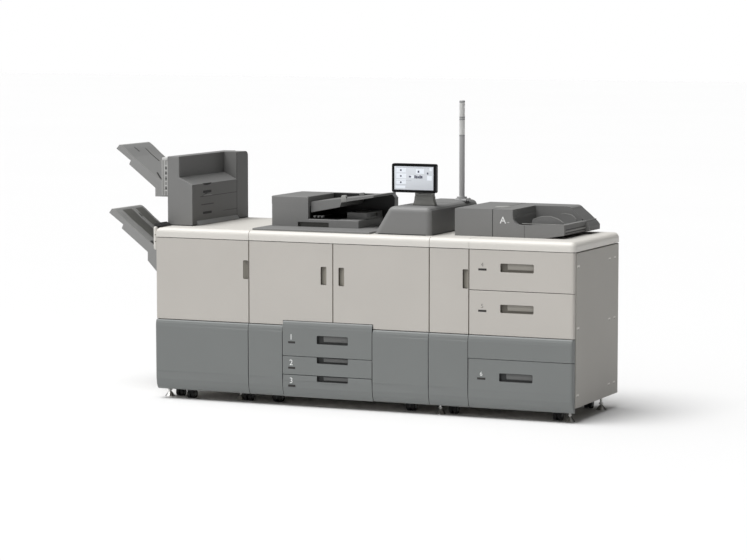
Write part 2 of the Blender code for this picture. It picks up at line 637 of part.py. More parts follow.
def feeder_drawers():
    x0, x1 = DRAWER_X + SEAM / 2, END_X - 0.005
    grip = (2.173, 2.373)
    half = SEAM / 2
    rows = ((0.729, COVER_Z, 0.836, 0.885, BEIGE), (SPLIT_Z, 0.729, 0.606, 0.653, BEIGE),
            (PANEL_Z - half, BLANK_Z, 0.219, 0.266, GREY))
    for count, (low, high, grip_low, grip_high, look) in enumerate(rows):
        light = look is BEIGE
        low, high = low + half, high - half
        if light:
            bm = flat_panel(x0, x1, low, high, END_ROUND)
        else:
            bm = bulged_panel(x0, x1, low, high, DOOR_BACK, [(-BULGE, high)], END_ROUND)
        front = solid(f"feeder_drawer_{count + 1}_front", bm, look)
        cut(front, slot(*grip, grip_low, grip_high, 0.016, 0.0 if light else -BULGE))
        floor = max(low + 0.014, 0.112)
        tub(f"feeder_drawer_{count + 1}_tub", (x0 + 0.020, DOOR_BACK + CLEAR, floor),
            (END_X - SIDE_SKIN - 0.026, 0.640, high - 0.026), BLACK)
    outline = [*shoulder(SPLIT_Z - half), (-BULGE, BLANK_Z + half), (DOOR_BACK, BLANK_Z + half),
               (DOOR_BACK, SPLIT_Z - half)]
    blank = soften(prism(outline, "X", x0, x1), lambda p: near(p.x, x1) and p.y < 0.004, END_ROUND, 4)
    solid("feeder_blank_panel", blank, GREY)


def bypass():
    """The by-hand tray on top: a solid head, a pocket with a low front wall and a high back."""
    base, top, low_top = TOP_Z + CLEAR, 1.175, 1.088
    front, back, end = 0.170, 0.712, 2.490
    split = 2.058
    head = soften(block((1.828, front, base), (split, back, top)),
                  lambda p: near(p.z, top) and not near(p.x, split), 0.005)
    solid("bypass_head", head, DARK)
    outline = [(split + 0.0015, base), (2.372, base), (end, 1.038), (end, low_top + 0.010),
               *arc((2.230, low_top + 0.050), 0.050, 270, 180, 5), (2.180, top), (split + 0.0015, top)]
    piece = solid("bypass_tray", prism(outline, "Y", front, back), DARK)
    wall = [(2.175, 1.040), (2.372, base), (2.512, 1.038), (2.512, 1.066), (2.500, 1.082), (2.452, 1.124),
            *arc((2.377, top - 0.040), 0.040, 35, 90, 3), (2.175, top)]
    join(piece, prism(wall, "Y", 0.535, back))
    cut(piece, block((2.182, front + 0.028, 1.058), (2.466, 0.534, 1.30)))
    guide("bypass_guide_front", 0.262, 2.262, [(0.0, 0.036), (-0.007, 0.045), (-0.040, 0.066),
                                               (-0.085, 0.080), (-0.144, 0.077), (-0.192, 0.061)])
    guide("bypass_guide_rear", 0.452, 2.366, [(0.0, 0.052), (-0.012, 0.066), (-0.032, 0.078),
                                              (-0.070, 0.084)])


def guide(name, y, start, crest):
    """A fin that lines up the sheets, with a foot that slides on the tray floor.

    The crest runs from the fin's right end, as distances from that end and heights above the floor.
    """
    floor, end = 1.0585, 2.460
    fin = [(start, floor), (end, floor), *((end + dx, floor + dz) for dx, dz in crest),
           (start, floor + 0.045)]
    piece = solid(name, prism(fin, "Y", y, y + 0.008), DARK, ((start + end) / 2, y, floor))
    join(piece, block((start, y - 0.012, floor), (end, y + 0.006, floor + 0.006)))


# ---------------------------------------------------------------- the whole row
finisher()
tower()
stack_tray("upper_stack_tray", UPPER_TRAY_TIP, UPPER_TRAY_ROOT, 0.030)
stack_tray("lower_stack_tray", LOWER_TRAY_TIP, LOWER_TRAY_ROOT, 0.110)
engine()
scanner()
document_feeder()
operator_panel()
signal_tower()
print_works()
paper_feeder()
bypass()
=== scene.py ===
"""Looks of the production photocopier: materials, surface detail, light and camera.

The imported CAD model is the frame. Machine coordinates are those of the part: x runs from the
finisher's left edge, y from the door fronts, z from the floor, all in metres.
"""

import json
import math

import bmesh
import bpy
from mathutils import Matrix, Vector


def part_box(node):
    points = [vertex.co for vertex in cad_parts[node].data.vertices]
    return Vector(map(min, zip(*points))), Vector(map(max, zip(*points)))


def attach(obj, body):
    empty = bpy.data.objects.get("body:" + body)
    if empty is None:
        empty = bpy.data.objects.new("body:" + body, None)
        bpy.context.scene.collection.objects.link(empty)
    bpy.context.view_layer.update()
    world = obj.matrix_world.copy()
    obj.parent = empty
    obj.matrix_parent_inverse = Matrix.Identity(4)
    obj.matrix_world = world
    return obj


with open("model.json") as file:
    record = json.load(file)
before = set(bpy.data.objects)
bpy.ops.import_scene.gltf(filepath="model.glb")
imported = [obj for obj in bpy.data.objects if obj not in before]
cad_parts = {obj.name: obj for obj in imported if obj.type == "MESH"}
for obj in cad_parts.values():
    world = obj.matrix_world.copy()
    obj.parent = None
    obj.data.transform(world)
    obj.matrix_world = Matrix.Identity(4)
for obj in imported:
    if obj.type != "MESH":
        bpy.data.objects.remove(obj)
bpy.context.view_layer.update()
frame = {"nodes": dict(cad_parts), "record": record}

# ---------------------------------------------------------------- places, from the frame
ENGINE_LEFT = 0.6035
ORIGIN = Vector((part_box("engine_cabinet")[0].x - ENGINE_LEFT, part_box("left_door_upper")[0].y, 0.0))


def here(point):
    """A machine point in the row's frame."""
    return Vector(point) + ORIGIN


def span(node):
    """A node's lowest and highest corners, in machine coordinates."""
    low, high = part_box(node)
    return low - ORIGIN, high - ORIGIN


# ---------------------------------------------------------------- materials
def shader(name, color, roughness, metallic=0.0, tint=0.03, patch=2.5, grain=900.0, bump=0.06,
           rough_spread=0.06, streak=None):
    """A Principled material with a fine moulded grain, soft colour variation and uneven gloss."""
    mat = bpy.data.materials.new(name)
    mat.use_nodes = True
    nodes, links = mat.node_tree.nodes, mat.node_tree.links
    bsdf = nodes["Principled BSDF"]
    bsdf.inputs["Metallic"].default_value = metallic
    place = nodes.new("ShaderNodeTexCoord")
    mapping = nodes.new("ShaderNodeMapping")
    mapping.inputs["Scale"].default_value = streak or (1.0, 1.0, 1.0)
    links.new(place.outputs["Object"], mapping.inputs["Vector"])
    broad = nodes.new("ShaderNodeTexNoise")
    broad.inputs["Scale"].default_value = patch
    broad.inputs["Detail"].default_value = 5.0
    fine = nodes.new("ShaderNodeTexNoise")
    fine.inputs["Scale"].default_value = grain
    fine.inputs["Detail"].default_value = 2.0
    for noise in (broad, fine):
        links.new(mapping.outputs["Vector"], noise.inputs["Vector"])
    ramp = nodes.new("ShaderNodeValToRGB")
    ramp.color_ramp.elements[0].position = 0.30
    ramp.color_ramp.elements[1].position = 0.70
    ramp.color_ramp.elements[0].color = (*[c * (1 - tint) for c in color], 1.0)
    ramp.color_ramp.elements[1].color = (*[min(1.0, c * (1 + tint)) for c in color], 1.0)
    links.new(broad.outputs["Fac"], ramp.inputs["Fac"])
    links.new(ramp.outputs["Color"], bsdf.inputs["Base Color"])
    gloss = nodes.new("ShaderNodeMapRange")
    gloss.inputs["To Min"].default_value = max(0.02, roughness - rough_spread)
    gloss.inputs["To Max"].default_value = min(1.0, roughness + rough_spread)
    links.new(fine.outputs["Fac"], gloss.inputs["Value"])
    links.new(gloss.outputs["Result"], bsdf.inputs["Roughness"])
    relief = nodes.new("ShaderNodeBump")
    relief.inputs["Strength"].default_value = bump
    relief.inputs["Distance"].default_value = 0.0004
    links.new(fine.outputs["Fac"], relief.inputs["Height"])
    links.new(relief.outputs["Normal"], bsdf.inputs["Normal"])
    return mat


def linear(red, green, blue):
    """An sRGB colour given as 0-255 values, in the linear values that a shader takes."""
    def one(value):
        value /= 255.0
        return value / 12.92 if value <= 0.04045 else ((value + 0.055) / 1.055) ** 2.4
    return one(red), one(green), one(blue)


CREAM = shader("cream_cover", linear(210, 207, 201), 0.42, tint=0.015)
BEIGE = shader("beige_panel", linear(185, 181, 175), 0.46, tint=0.02)
CABINET = shader("cabinet_beige", linear(178, 174, 166), 0.5, tint=0.03, grain=500.0, bump=0.12)
# Painted shade: the side cover is a darker beige than the doors, standing in for shade on the machine's
# right-facing side.
SIDE_COVER_SHADE = shader("side_cover_painted_shade", linear(164, 161, 155), 0.5, tint=0.03, grain=500.0, bump=0.12)
GREY = shader("grey_panel", linear(115, 118, 117), 0.44, tint=0.02)
DARK = shader("dark_unit", linear(120, 120, 119), 0.5, tint=0.03, grain=700.0, bump=0.1)
# Painted shade for grooves and thin slots.
GROOVE_SHADE = shader("dark_painted_groove_shade", linear(52, 52, 51), 0.55, tint=0.05)
# Black plastic, also used as painted shade: the lid's rear wall, the exit shade, the bypass seam and rear
# slot, and the screw drives.
BLACK_PLASTIC_AND_SHADE = shader("black_plastic", linear(26, 26, 26), 0.45, tint=0.08)
# Painted shade: near-black inserts standing in for the dark inside of slots, louvres, grooves, gaps and
# seams.
HOLE_SHADE = shader("slot_painted_shade", linear(12, 12, 12), 0.6, tint=0.1)
# Painted shade for beige recesses: a mid tone for grip ramps and slits, and a deep tone for grip walls, slots
# and back seams.
BEIGE_RECESS_SHADE = shader("beige_painted_recess_shade", linear(132, 128, 119), 0.55, tint=0.03)
BEIGE_DEEP_SHADE = shader("beige_deep_painted_shade", linear(84, 80, 73), 0.6, tint=0.04)
# A darker grey for real parts such as rollers and caster hubs, also used as painted shade in grip recesses
# and on the grey panels' rounded edges.
GREY_PART_AND_SHADE = shader("grey_recess", linear(98, 99, 98), 0.5, tint=0.03)
# Painted shade for deep recesses, seams, pits and shadow lines.
GREY_DEEP_SHADE = shader("grey_deep_painted_shade", linear(44, 45, 45), 0.6, tint=0.04)
# Painted shade for the front panels' seams: their side faces and rounded edges.
BEIGE_EDGE_SHADE = shader("beige_painted_edge_shade", linear(160, 155, 147), 0.5, tint=0.02)
PANEL_GAP_SHADE = shader("panel_painted_gap_shade", linear(70, 64, 56), 0.7, tint=0.05)
GREY_GAP_SHADE = shader("grey_painted_gap_shade", linear(30, 31, 32), 0.7, tint=0.05)
# Painted shade for recesses: the lower tray's channels, the lid's front recess and underside, and the
# finisher's exit side.
RECESS_SHADE_GREY = shader("tray_painted_channel_shade", linear(92, 92, 88), 0.55, tint=0.04, grain=700.0, bump=0.1)
# A pale grey for real tray rails, guides and pads, also used as painted highlight on the bypass wall's top
# edge and the guide fins' crests.
RAIL_AND_HIGHLIGHT = shader("tray_rail", linear(150, 150, 147), 0.5, tint=0.03, grain=700.0, bump=0.1)
WHITE_INK = shader("white_ink", linear(228, 229, 228), 0.6, tint=0.02, bump=0.02)
GREY_INK = shader("grey_ink", linear(120, 118, 114), 0.6, tint=0.02, bump=0.02)
BLACK_INK = shader("black_ink", linear(38, 35, 34), 0.4, tint=0.05, bump=0.02)
BEZEL = shader("screen_black", linear(6, 6, 7), 0.3, tint=0.1, bump=0.01, rough_spread=0.03)
BEZEL.node_tree.nodes["Principled BSDF"].inputs["Specular IOR Level"].default_value = 0.15
STEEL = shader("zinc_steel", linear(190, 190, 188), 0.28, 1.0, tint=0.06, patch=12.0, bump=0.04,
               streak=(1.0, 6.0, 1.0))
RUBBER = shader("rubber", linear(24, 24, 24), 0.75, tint=0.15, patch=30.0, grain=400.0, bump=0.3)
POLE = shader("pole_grey", linear(170, 170, 170), 0.42, tint=0.03, streak=(1.0, 1.0, 0.1), bump=0.04)
DRUM = shader("drum_coating", linear(60, 128, 112), 0.15, tint=0.05, bump=0.01, rough_spread=0.04)
TONER = shader("toner_shell", linear(38, 38, 40), 0.4, tint=0.08)
# Pale fence ribs and cap; the rib on the tower's left front edge also stands in for that rounded edge's
# highlight.
FENCE_PALE_AND_HIGHLIGHT = shader("fence_pale_and_painted_highlight", linear(186, 186, 184), 0.5, tint=0.02)
FENCE_GREY = shader("fence_grey", linear(136, 136, 134), 0.5, tint=0.03)
TRAY = shader("stack_tray", linear(140, 140, 139), 0.5, tint=0.03, grain=700.0, bump=0.1)
NECK = shader("neck_grey", linear(140, 140, 136), 0.45, tint=0.03)
# Painted shade: a darker copy of the dark unit grey for faces that look right, away from the key light.
DARK_SIDE_SHADE = shader("dark_unit_painted_side_shade", linear(99, 99, 98), 0.55, tint=0.03, grain=700.0, bump=0.1)
# Painted recess shade for the light drawers' grips: a paler hook panel and a darker box.
BEIGE_GRIP_SHADE = shader("beige_grip_painted_shade", linear(150, 146, 138), 0.5, tint=0.03)
BEIGE_GRIP_DEEP_SHADE = shader("beige_deep_grip_painted_shade", linear(104, 100, 92), 0.55, tint=0.03)
CLIP = shader("side_clip", linear(204, 202, 196), 0.4, tint=0.02)


def translucent(name, color, roughness, transmission, alpha=1.0):
    """A clear or frosted material, from the same shader with light going through it."""
    mat = shader(name, color, roughness, tint=0.01, bump=0.02, rough_spread=0.03)
    bsdf = mat.node_tree.nodes["Principled BSDF"]
    bsdf.inputs["Transmission Weight"].default_value = transmission
    bsdf.inputs["IOR"].default_value = 1.48
    bsdf.inputs["Alpha"].default_value = alpha
    return mat


LENS = translucent("lens_frosted", linear(240, 240, 238), 0.35, 0.45)
GLASS = translucent("platen_glass", linear(205, 222, 222), 0.06, 0.85)


def glowing(name, color, strength):
    """A display colour: the same shader that also gives off light."""
    mat = shader(name, color, 0.25, tint=0.02, patch=6.0, bump=0.0, rough_spread=0.02)
    bsdf = mat.node_tree.nodes["Principled BSDF"]
    bsdf.inputs["Emission Color"].default_value = (*color, 1.0)
    bsdf.inputs["Emission Strength"].default_value = strength
    return mat


SCREEN = glowing("screen_page", linear(202, 206, 212), 0.12)
SCREEN_TILE = glowing("screen_tile", linear(224, 229, 236), 0.14)
SCREEN_INK = glowing("screen_ink", linear(70, 72, 90), 0.02)

LOOKS = {"cream_cover": CREAM, "beige_panel": BEIGE, "cabinet_beige": CABINET, "grey_panel": GREY,
         "dark_unit": DARK, "black_plastic": BLACK_PLASTIC_AND_SHADE, "screen_black": BEZEL, "platen": GLASS,
         "lens": LENS, "pole_grey": POLE, "zinc_steel": STEEL, "rubber": RUBBER,
         "drum_coating": DRUM, "toner_shell": TONER}
SMOOTH = math.radians(32)

for subpart in frame["record"]["subparts"]:
    node = frame["nodes"][subpart["node"]]
    node.data.materials.clear()
    node.data.materials.append(LOOKS[subpart["material_slot"]])
frame["nodes"]["feeder_side_cover"].data.materials[0] = SIDE_COVER_SHADE
frame["nodes"]["panel_neck"].data.materials[0] = NECK
for name in ("upper_stack_tray", "lower_stack_tray"):
    frame["nodes"][name].data.materials[0] = TRAY


FOOT_REACH = 0.034
CASTER_REACH = 0.0265
SUPPORT_TOP = 0.0845
FINISHER_FEET = ((0.014, 0.125), (0.474, 0.150), (0.030, 0.820), (0.560, 0.820))
FINISHER_CASTERS = ((0.076, 0.150), (0.181, 0.090), (0.537, 0.130), (0.110, 0.800))
FEEDER_FEET = ((1.781, 0.078), (2.559, 0.094), (1.790, 0.650), (2.563, 0.610))
FEEDER_CASTERS = ((1.847, 0.120), (2.484, 0.110), (1.860, 0.640), (2.480, 0.635))


def color_supports(name, feet, casters):
    """Give a cabinet's joined feet and casters their own materials, face by face."""
    mesh = frame["nodes"][name].data
    mesh.materials.append(STEEL)
    mesh.materials.append(RUBBER)
    for face in mesh.polygons:
        if face.center.z > SUPPORT_TOP:
            continue
        x, y = face.center.x - ORIGIN.x, face.center.y - ORIGIN.y
        if any(math.hypot(x - fx, y - fy) < FOOT_REACH for fx, fy in feet):
            face.material_index = 1
        if any(abs(x - cx) < CASTER_REACH and abs(y - cy) < CASTER_REACH for cx, cy in casters):
            face.material_index = 2


color_supports("finisher_cabinet", FINISHER_FEET, FINISHER_CASTERS)
color_supports("feeder_cabinet", FEEDER_FEET, FEEDER_CASTERS)

END_X = span("feeder_side_cover")[1].x
FINISHER_LEFT = span("finisher_door_upper")[0].x
OUTER_REACH = 0.020
ROUNDING = 0.004
SQUARE_ON = 0.95
SLANTED = 0.3


def shade_edges(name, look):
    """Darken a front panel's side faces and rounded edges with painted shade, so that the seams read as
    shaded gaps.
    """
    mesh = frame["nodes"][name].data
    mesh.materials.append(look)
    mesh.materials.append(GREY_PART_AND_SHADE if look is GREY_GAP_SHADE else BEIGE_EDGE_SHADE)
    outer = (END_X, FINISHER_LEFT)
    for face in mesh.polygons:
        x, y = face.center.x - ORIGIN.x, face.center.y - ORIGIN.y
        is_outer = any(abs(x - end) < OUTER_REACH for end in outer)
        is_side = abs(face.normal.x) > SQUARE_ON and not is_outer
        is_end = abs(face.normal.z) > SQUARE_ON and y > ROUNDING
        is_lip = abs(face.normal.x) > SLANTED and not is_outer
        if is_side or is_end:
            face.material_index = 1
        elif is_lip:
            face.material_index = 2


for name in ("finisher_door", "left_door", "right_door", "relay_door"):
    shade_edges(name + "_upper", PANEL_GAP_SHADE)
    shade_edges(name + "_lower", GREY_GAP_SHADE)
for count in (1, 2, 3):
    shade_edges(f"paper_tray_{count}_front", GREY_GAP_SHADE)
    shade_edges(f"feeder_drawer_{count}_front", PANEL_GAP_SHADE if count < 3 else GREY_GAP_SHADE)
shade_edges("feeder_blank_panel", GREY_GAP_SHADE)


def shade_faces(name, look, wanted):
    """Give the faces of a node that pass a test another material."""
    mesh = frame["nodes"][name].data
    mesh.materials.append(look)
    slot_number = len(mesh.materials) - 1
    for face in mesh.polygons:
        if wanted(face.center - ORIGIN, face.normal):
            face.material_index = slot_number


# Painted shade on the top covers' down-facing faces, for the dark line under each cover.
for name in ("finisher_top_cover", "engine_top_cover", "feeder_top_cover"):
    shade_faces(name, PANEL_GAP_SHADE, lambda at, normal: normal.z < -0.9)
# Painted shade on the finisher cabinet's faces left of its doors, above 0.2 m.
shade_faces("finisher_cabinet", RECESS_SHADE_GREY,
            lambda at, normal: at.x < FINISHER_LEFT - 0.002 and at.z > 0.2)
LID_WALL_Y = 0.612
# Painted shadow: the front face of the lid's rear wall, in shade under the sheet tray, is coloured black.
shade_faces("feeder_lid", BLACK_PLASTIC_AND_SHADE,
            lambda at, normal: abs(at.y - LID_WALL_Y) < 0.001 and normal.y < -0.9)
# Painted shade on the lid's down-facing faces.
shade_faces("feeder_lid", RECESS_SHADE_GREY, lambda at, normal: normal.z < -0.5)
# Painted side shade on the right-facing faces of the tower, the panel housing and the bypass end.
for name in ("finisher_tower", "panel_housing"):
    shade_faces(name, DARK_SIDE_SHADE, lambda at, normal: normal.x > 0.96)
shade_faces("bypass_tray", DARK_SIDE_SHADE, lambda at, normal: normal.x > 0.6 and at.x > 2.4)


# ---------------------------------------------------------------- shapes
def block(low, high, bevel=0.0, segments=2):
    """A box between two corners, with rounded edges."""
    bm = bmesh.new()
    bmesh.ops.create_cube(bm, size=1.0)
    low, high = Vector(low), Vector(high)
    size = high - low
    bmesh.ops.transform(bm, matrix=Matrix.Translation((low + high) / 2) @ Matrix.Diagonal((*size, 1.0)),
                        verts=bm.verts)
    if bevel:
        bevel = min(bevel, 0.45 * min(size))
        bmesh.ops.bevel(bm, geom=bm.edges[:], offset=bevel, segments=segments, profile=0.5,
                        affect="EDGES", clamp_overlap=True)
    return bm


def prism(points, axis, start, end, bevel=0.0, segments=2):
    """An outline pushed along an axis. Points are the two other coordinates, in order."""
    bm = bmesh.new()

    def corner(a, b, along):
        return {"X": (along, a, b), "Y": (a, along, b), "Z": (a, b, along)}[axis]

    first = [bm.verts.new(corner(a, b, start)) for a, b in points]
    last = [bm.verts.new(corner(a, b, end)) for a, b in points]
    bm.faces.new(first)
    bm.faces.new(last)
    count = len(points)
    for i in range(count):
        bm.faces.new((first[i], first[(i + 1) % count], last[(i + 1) % count], last[i]))
    bmesh.ops.recalc_face_normals(bm, faces=bm.faces)
    if bevel:
        bmesh.ops.bevel(bm, geom=bm.edges[:], offset=bevel, segments=segments, profile=0.5,
                        affect="EDGES", clamp_overlap=True)
    return bm


def rod(radius, start, end, sides=24, bevel=0.0):
    """A round bar between two points."""
    start, end = Vector(start), Vector(end)
    run = end - start
    bm = bmesh.new()
    turn = Vector((0, 0, 1)).rotation_difference(run).to_matrix().to_4x4()
    bmesh.ops.create_cone(bm, cap_ends=True, segments=sides, radius1=radius, radius2=radius,
                          depth=run.length, matrix=Matrix.Translation((start + end) / 2) @ turn)
    if bevel:
        rims = [e for e in bm.edges if abs((e.verts[1].co - e.verts[0].co).dot(run)) < 1e-9]
        bmesh.ops.bevel(bm, geom=rims, offset=bevel, segments=2, profile=0.5, affect="EDGES")
    return bm


def merged(*forms):
    """Several forms as the loose parts of one piece."""
    whole = bmesh.new()
    scratch = bpy.data.meshes.new("scratch")
    for form in forms:
        form.to_mesh(scratch)
        form.free()
        whole.from_mesh(scratch)
    bpy.data.meshes.remove(scratch)
    return whole


def arc(center, radius, start, end, steps):
    """Points on an arc in a plane; angles in degrees."""
    angles = [math.radians(start + (end - start) * i / steps) for i in range(steps + 1)]
    return [(center[0] + radius * math.cos(a), center[1] + radius * math.sin(a)) for a in angles]


def piece(name, bm, look, body):
    """Make a visible piece from a form in machine coordinates, on a body."""
    mesh = bpy.data.meshes.new(name)
    bmesh.ops.translate(bm, vec=ORIGIN, verts=bm.verts)
    bm.to_mesh(mesh)
    bm.free()
    mesh.materials.append(look)
    mesh.polygons.foreach_set("use_smooth", [True] * len(mesh.polygons))
    mesh.set_sharp_from_angle(angle=SMOOTH)
    obj = bpy.data.objects.new(name, mesh)
    bpy.context.scene.collection.objects.link(obj)
    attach(obj, body)


# ---------------------------------------------------------------- finger recesses
GAP = 0.0006
LINING = 0.0012
PROUD = 0.0001
DOOR_GRIP_DEPTH = 0.015
DRAWER_GRIP_DEPTH = 0.016


def scoop(name, box, front, depth, deep_left, body):
    """The lining of an upright door grip, in painted recess shade: a dark wall on its deep side and a pale
    ramp.
    """
    x0, x1, z0, z1 = box
    width = x1 - x0
    y0, y1 = front + GAP, front + depth - 0.0004
    floor_y = y1 - LINING
    ramp = [(x0 + LINING, floor_y), (x0 + 0.30 * width, floor_y),
            (x0 + 0.55 * width, floor_y - 0.20 * depth), (x0 + 0.80 * width, floor_y - 0.55 * depth),
            (x1 - GAP, y0 + 0.0010), (x1 - GAP, y1), (x0 + LINING, y1)]
    wall = [(x0 + GAP, y0), (x0 + LINING + 0.0006, y0), (x0 + LINING + 0.0006, floor_y),
            (x0 + GAP, floor_y)]
    if not deep_left:
        ramp, wall = [[(x0 + x1 - x, y) for x, y in outline] for outline in (ramp, wall)]
    piece(name, prism(ramp, "Z", z0 + GAP, z1 - GAP), BEIGE_RECESS_SHADE, body)
    caps = [block((x0 + GAP, y0, low), (x1 - GAP, floor_y, low + 0.0015))
            for low in (z0 + 0.0004, z1 - 0.0020)]
    piece(name + "_wall", merged(prism(wall, "Z", z0 + GAP, z1 - GAP), *caps), BEIGE_DEEP_SHADE, body)


def tray_grip(name, box, front, depth, body, deep_shade, panel_shade, lip_look):
    """The lining of a drawer grip: a dark box and a paler hooked panel at its back, both painted recess
    shade, and a lip.
    """
    x0, x1, z0, z1 = box
    y0, y1 = front + GAP, front + depth - 0.0004
    back = block((x0 + GAP, y1 - LINING, z0 + GAP), (x1 - GAP, y1, z1 - GAP))
    sides = [block((low, y0, z0 + GAP), (low + LINING, y1 - LINING, z1 - GAP))
             for low in (x0 + GAP, x1 - GAP - LINING)]
    floors = [block((x0 + GAP, y0, low), (x1 - GAP, y1 - LINING, low + LINING))
              for low in (z0 + GAP, z1 - GAP - LINING)]
    piece(name, merged(back, *sides, *floors), deep_shade, body)
    height = z1 - z0
    panel = prism([(y1 - LINING, z0 + 0.24 * height), (y1 - 0.30 * depth, z0 + 0.30 * height),
                   (y1 - 0.42 * depth, z0 + 0.60 * height), (y1 - 0.48 * depth, z1 - 0.002),
                   (y1 - LINING, z1 - 0.002)], "X", x0 + 0.20 * (x1 - x0), x1 - 0.004, 0.0012)
    piece(name + "_hook", panel, panel_shade, body)
    rim = block((x0 + 0.014, front - PROUD, z0 - 0.0075), (x1 - 0.010, front + 0.002, z0 - 0.0035),
                0.0012)
    piece(name + "_lip", rim, lip_look, body)


DOOR_GRIPS = (("finisher_door", "finisher_door_upper", (0.565, 0.5985, 0.734, 0.843), False),
              ("left_door", "left_door_upper", (1.063, 1.100, 0.719, 0.824), True),
              ("right_door", "right_door_upper", (1.176, 1.212, 0.717, 0.823), True),
              ("relay_door", "relay_door_upper", (1.945, 1.979, 0.735, 0.844), True))
for body, node, box, deep_left in DOOR_GRIPS:
    scoop(f"{body}_grip_lining", box, span(node)[0].y, DOOR_GRIP_DEPTH, deep_left, body)

PANEL_FRONT = span("paper_tray_1_front")[0].y
GRIP_X = (1.043, 1.240)
TRAY_GRIPS = ((0.375, 0.424), (0.262, 0.2965), (0.155, 0.188))
for count, (low, high) in enumerate(TRAY_GRIPS, 1):
    # Grey grip linings: a deep box and a hook panel in painted recess shade.
    tray_grip(f"paper_tray_{count}_grip", (*GRIP_X, low, high), PANEL_FRONT, DRAWER_GRIP_DEPTH,
              f"tray_{count}", GREY_DEEP_SHADE, GREY_PART_AND_SHADE, GREY)
DRAWER_GRIP_X = (2.173, 2.373)
DRAWER_GRIPS = ((0.836, 0.885), (0.606, 0.653), (0.219, 0.266))
for count, (low, high) in enumerate(DRAWER_GRIPS, 1):
    light = count < 3
    tray_grip(f"feeder_drawer_{count}_grip", (*DRAWER_GRIP_X, low, high), 0.0 if light else PANEL_FRONT,
              DRAWER_GRIP_DEPTH, f"drawer_{count}",
              BEIGE_GRIP_DEEP_SHADE if light else GREY_DEEP_SHADE, BEIGE_GRIP_SHADE if light else GREY_PART_AND_SHADE,
              BEIGE if light else GREY)


# ---------------------------------------------------------------- printed marks
INK = 0.0002
SIZE_PER_HEIGHT = 1.4


def numeral(name, text, x, z, height, front, look, body):
    """A printed character on a face that looks towards the operator."""
    curve = bpy.data.curves.new(name, "FONT")
    curve.body = text
    curve.size = height * SIZE_PER_HEIGHT
    curve.extrude = INK / 2
    curve.align_x = "CENTER"
    source = bpy.data.objects.new(name + "_source", curve)
    bpy.context.scene.collection.objects.link(source)
    bpy.context.view_layer.update()
    mesh = bpy.data.meshes.new_from_object(source)
    bpy.data.objects.remove(source)
    bm = bmesh.new()
    bm.from_mesh(mesh)
    bmesh.ops.remove_doubles(bm, verts=bm.verts, dist=1e-6)
    upright = Matrix.Translation((x, front, z)) @ Matrix.Rotation(math.radians(90), 4, "X")
    bmesh.ops.transform(bm, matrix=upright, verts=bm.verts)
    piece(name, bm, look, body)


def mark_bar(name, x0, x1, z0, z1, front, look, body):
    """A small raised size-indicator window."""
    frame_bar = block((x0, front - INK, z0), (x1, front + 0.001, z1), 0.0002)
    piece(name, frame_bar, look, body)


for count, (low, high) in enumerate(((0.372, 0.384), (0.223, 0.235), (0.118, 0.130)), 1):
    numeral(f"tray_mark_{count}", str(count), 0.879, high + 0.010, 0.033, PANEL_FRONT, WHITE_INK,
            f"tray_{count}")
    mark_bar(f"tray_size_window_{count}", 0.860, 0.905, low, high, PANEL_FRONT, BLACK_INK,
             f"tray_{count}")
for count, z in enumerate((0.847, 0.613, 0.230), 1):
    light = count < 3
    front = 0.0 if light else PANEL_FRONT
    numeral(f"drawer_mark_{count}", str(count + 3), 2.064, z + 0.016, 0.024, front,
            GREY_INK if light else WHITE_INK, f"drawer_{count}")
    mark_bar(f"drawer_size_window_{count}", 2.040, 2.090, z - 0.006, z + 0.006, front, BLACK_INK,
             f"drawer_{count}")

# ---------------------------------------------------------------- output tower
TOWER_LOW, TOWER_HIGH = span("finisher_tower")
TOWER_RIGHT = TOWER_HIGH.x
SHELF_Z = 1.262


def tower_slot(name, y0, y1, z0, z1, look=HOLE_SHADE):
    """A finger slot on the tower's right face, as a thin dark insert with a rounded outline: painted shade
    for the slot's hollow.
    """
    radius = min(0.45 * (z1 - z0), 0.010)
    corners = ((y1 - radius, z1 - radius), (y0 + radius, z1 - radius),
               (y0 + radius, z0 + radius), (y1 - radius, z0 + radius))
    outline = [point for turn, corner in enumerate(corners)
               for point in arc(corner, radius, 90 * turn, 90 * turn + 90, 4)]
    insert = prism(outline, "X", TOWER_RIGHT - 0.001, TOWER_RIGHT + 0.0007)
    piece(name, insert, look, "root")


tower_slot("tower_upper_slot", 0.292, 0.400, 1.205, 1.220)
tower_slot("tower_thin_slot", 0.267, 0.430, 1.134, 1.140, GROOVE_SHADE)
tower_slot("tower_lower_slot", 0.289, 0.402, 1.080, 1.094)
# Painted shade in the shelf notch.
notch = prism(arc((0.345, SHELF_Z + 0.004), 0.056, 180, 360, 12), "X", TOWER_RIGHT - 0.030,
              TOWER_RIGHT + 0.0008)
bmesh.ops.scale(notch, vec=(1.0, 1.0, 0.22), space=Matrix.Translation((0.0, 0.0, -SHELF_Z - 0.001)),
                verts=notch.verts)
piece("tower_shelf_notch", notch, HOLE_SHADE, "root")
lip = prism([(0.285, 1.187), (0.300, 1.196), (0.345, 1.201), (0.390, 1.196), (0.405, 1.187)], "X",
            TOWER_RIGHT - 0.001, TOWER_RIGHT + 0.004, 0.0012)
piece("tower_pull_lip", lip, DARK, "root")
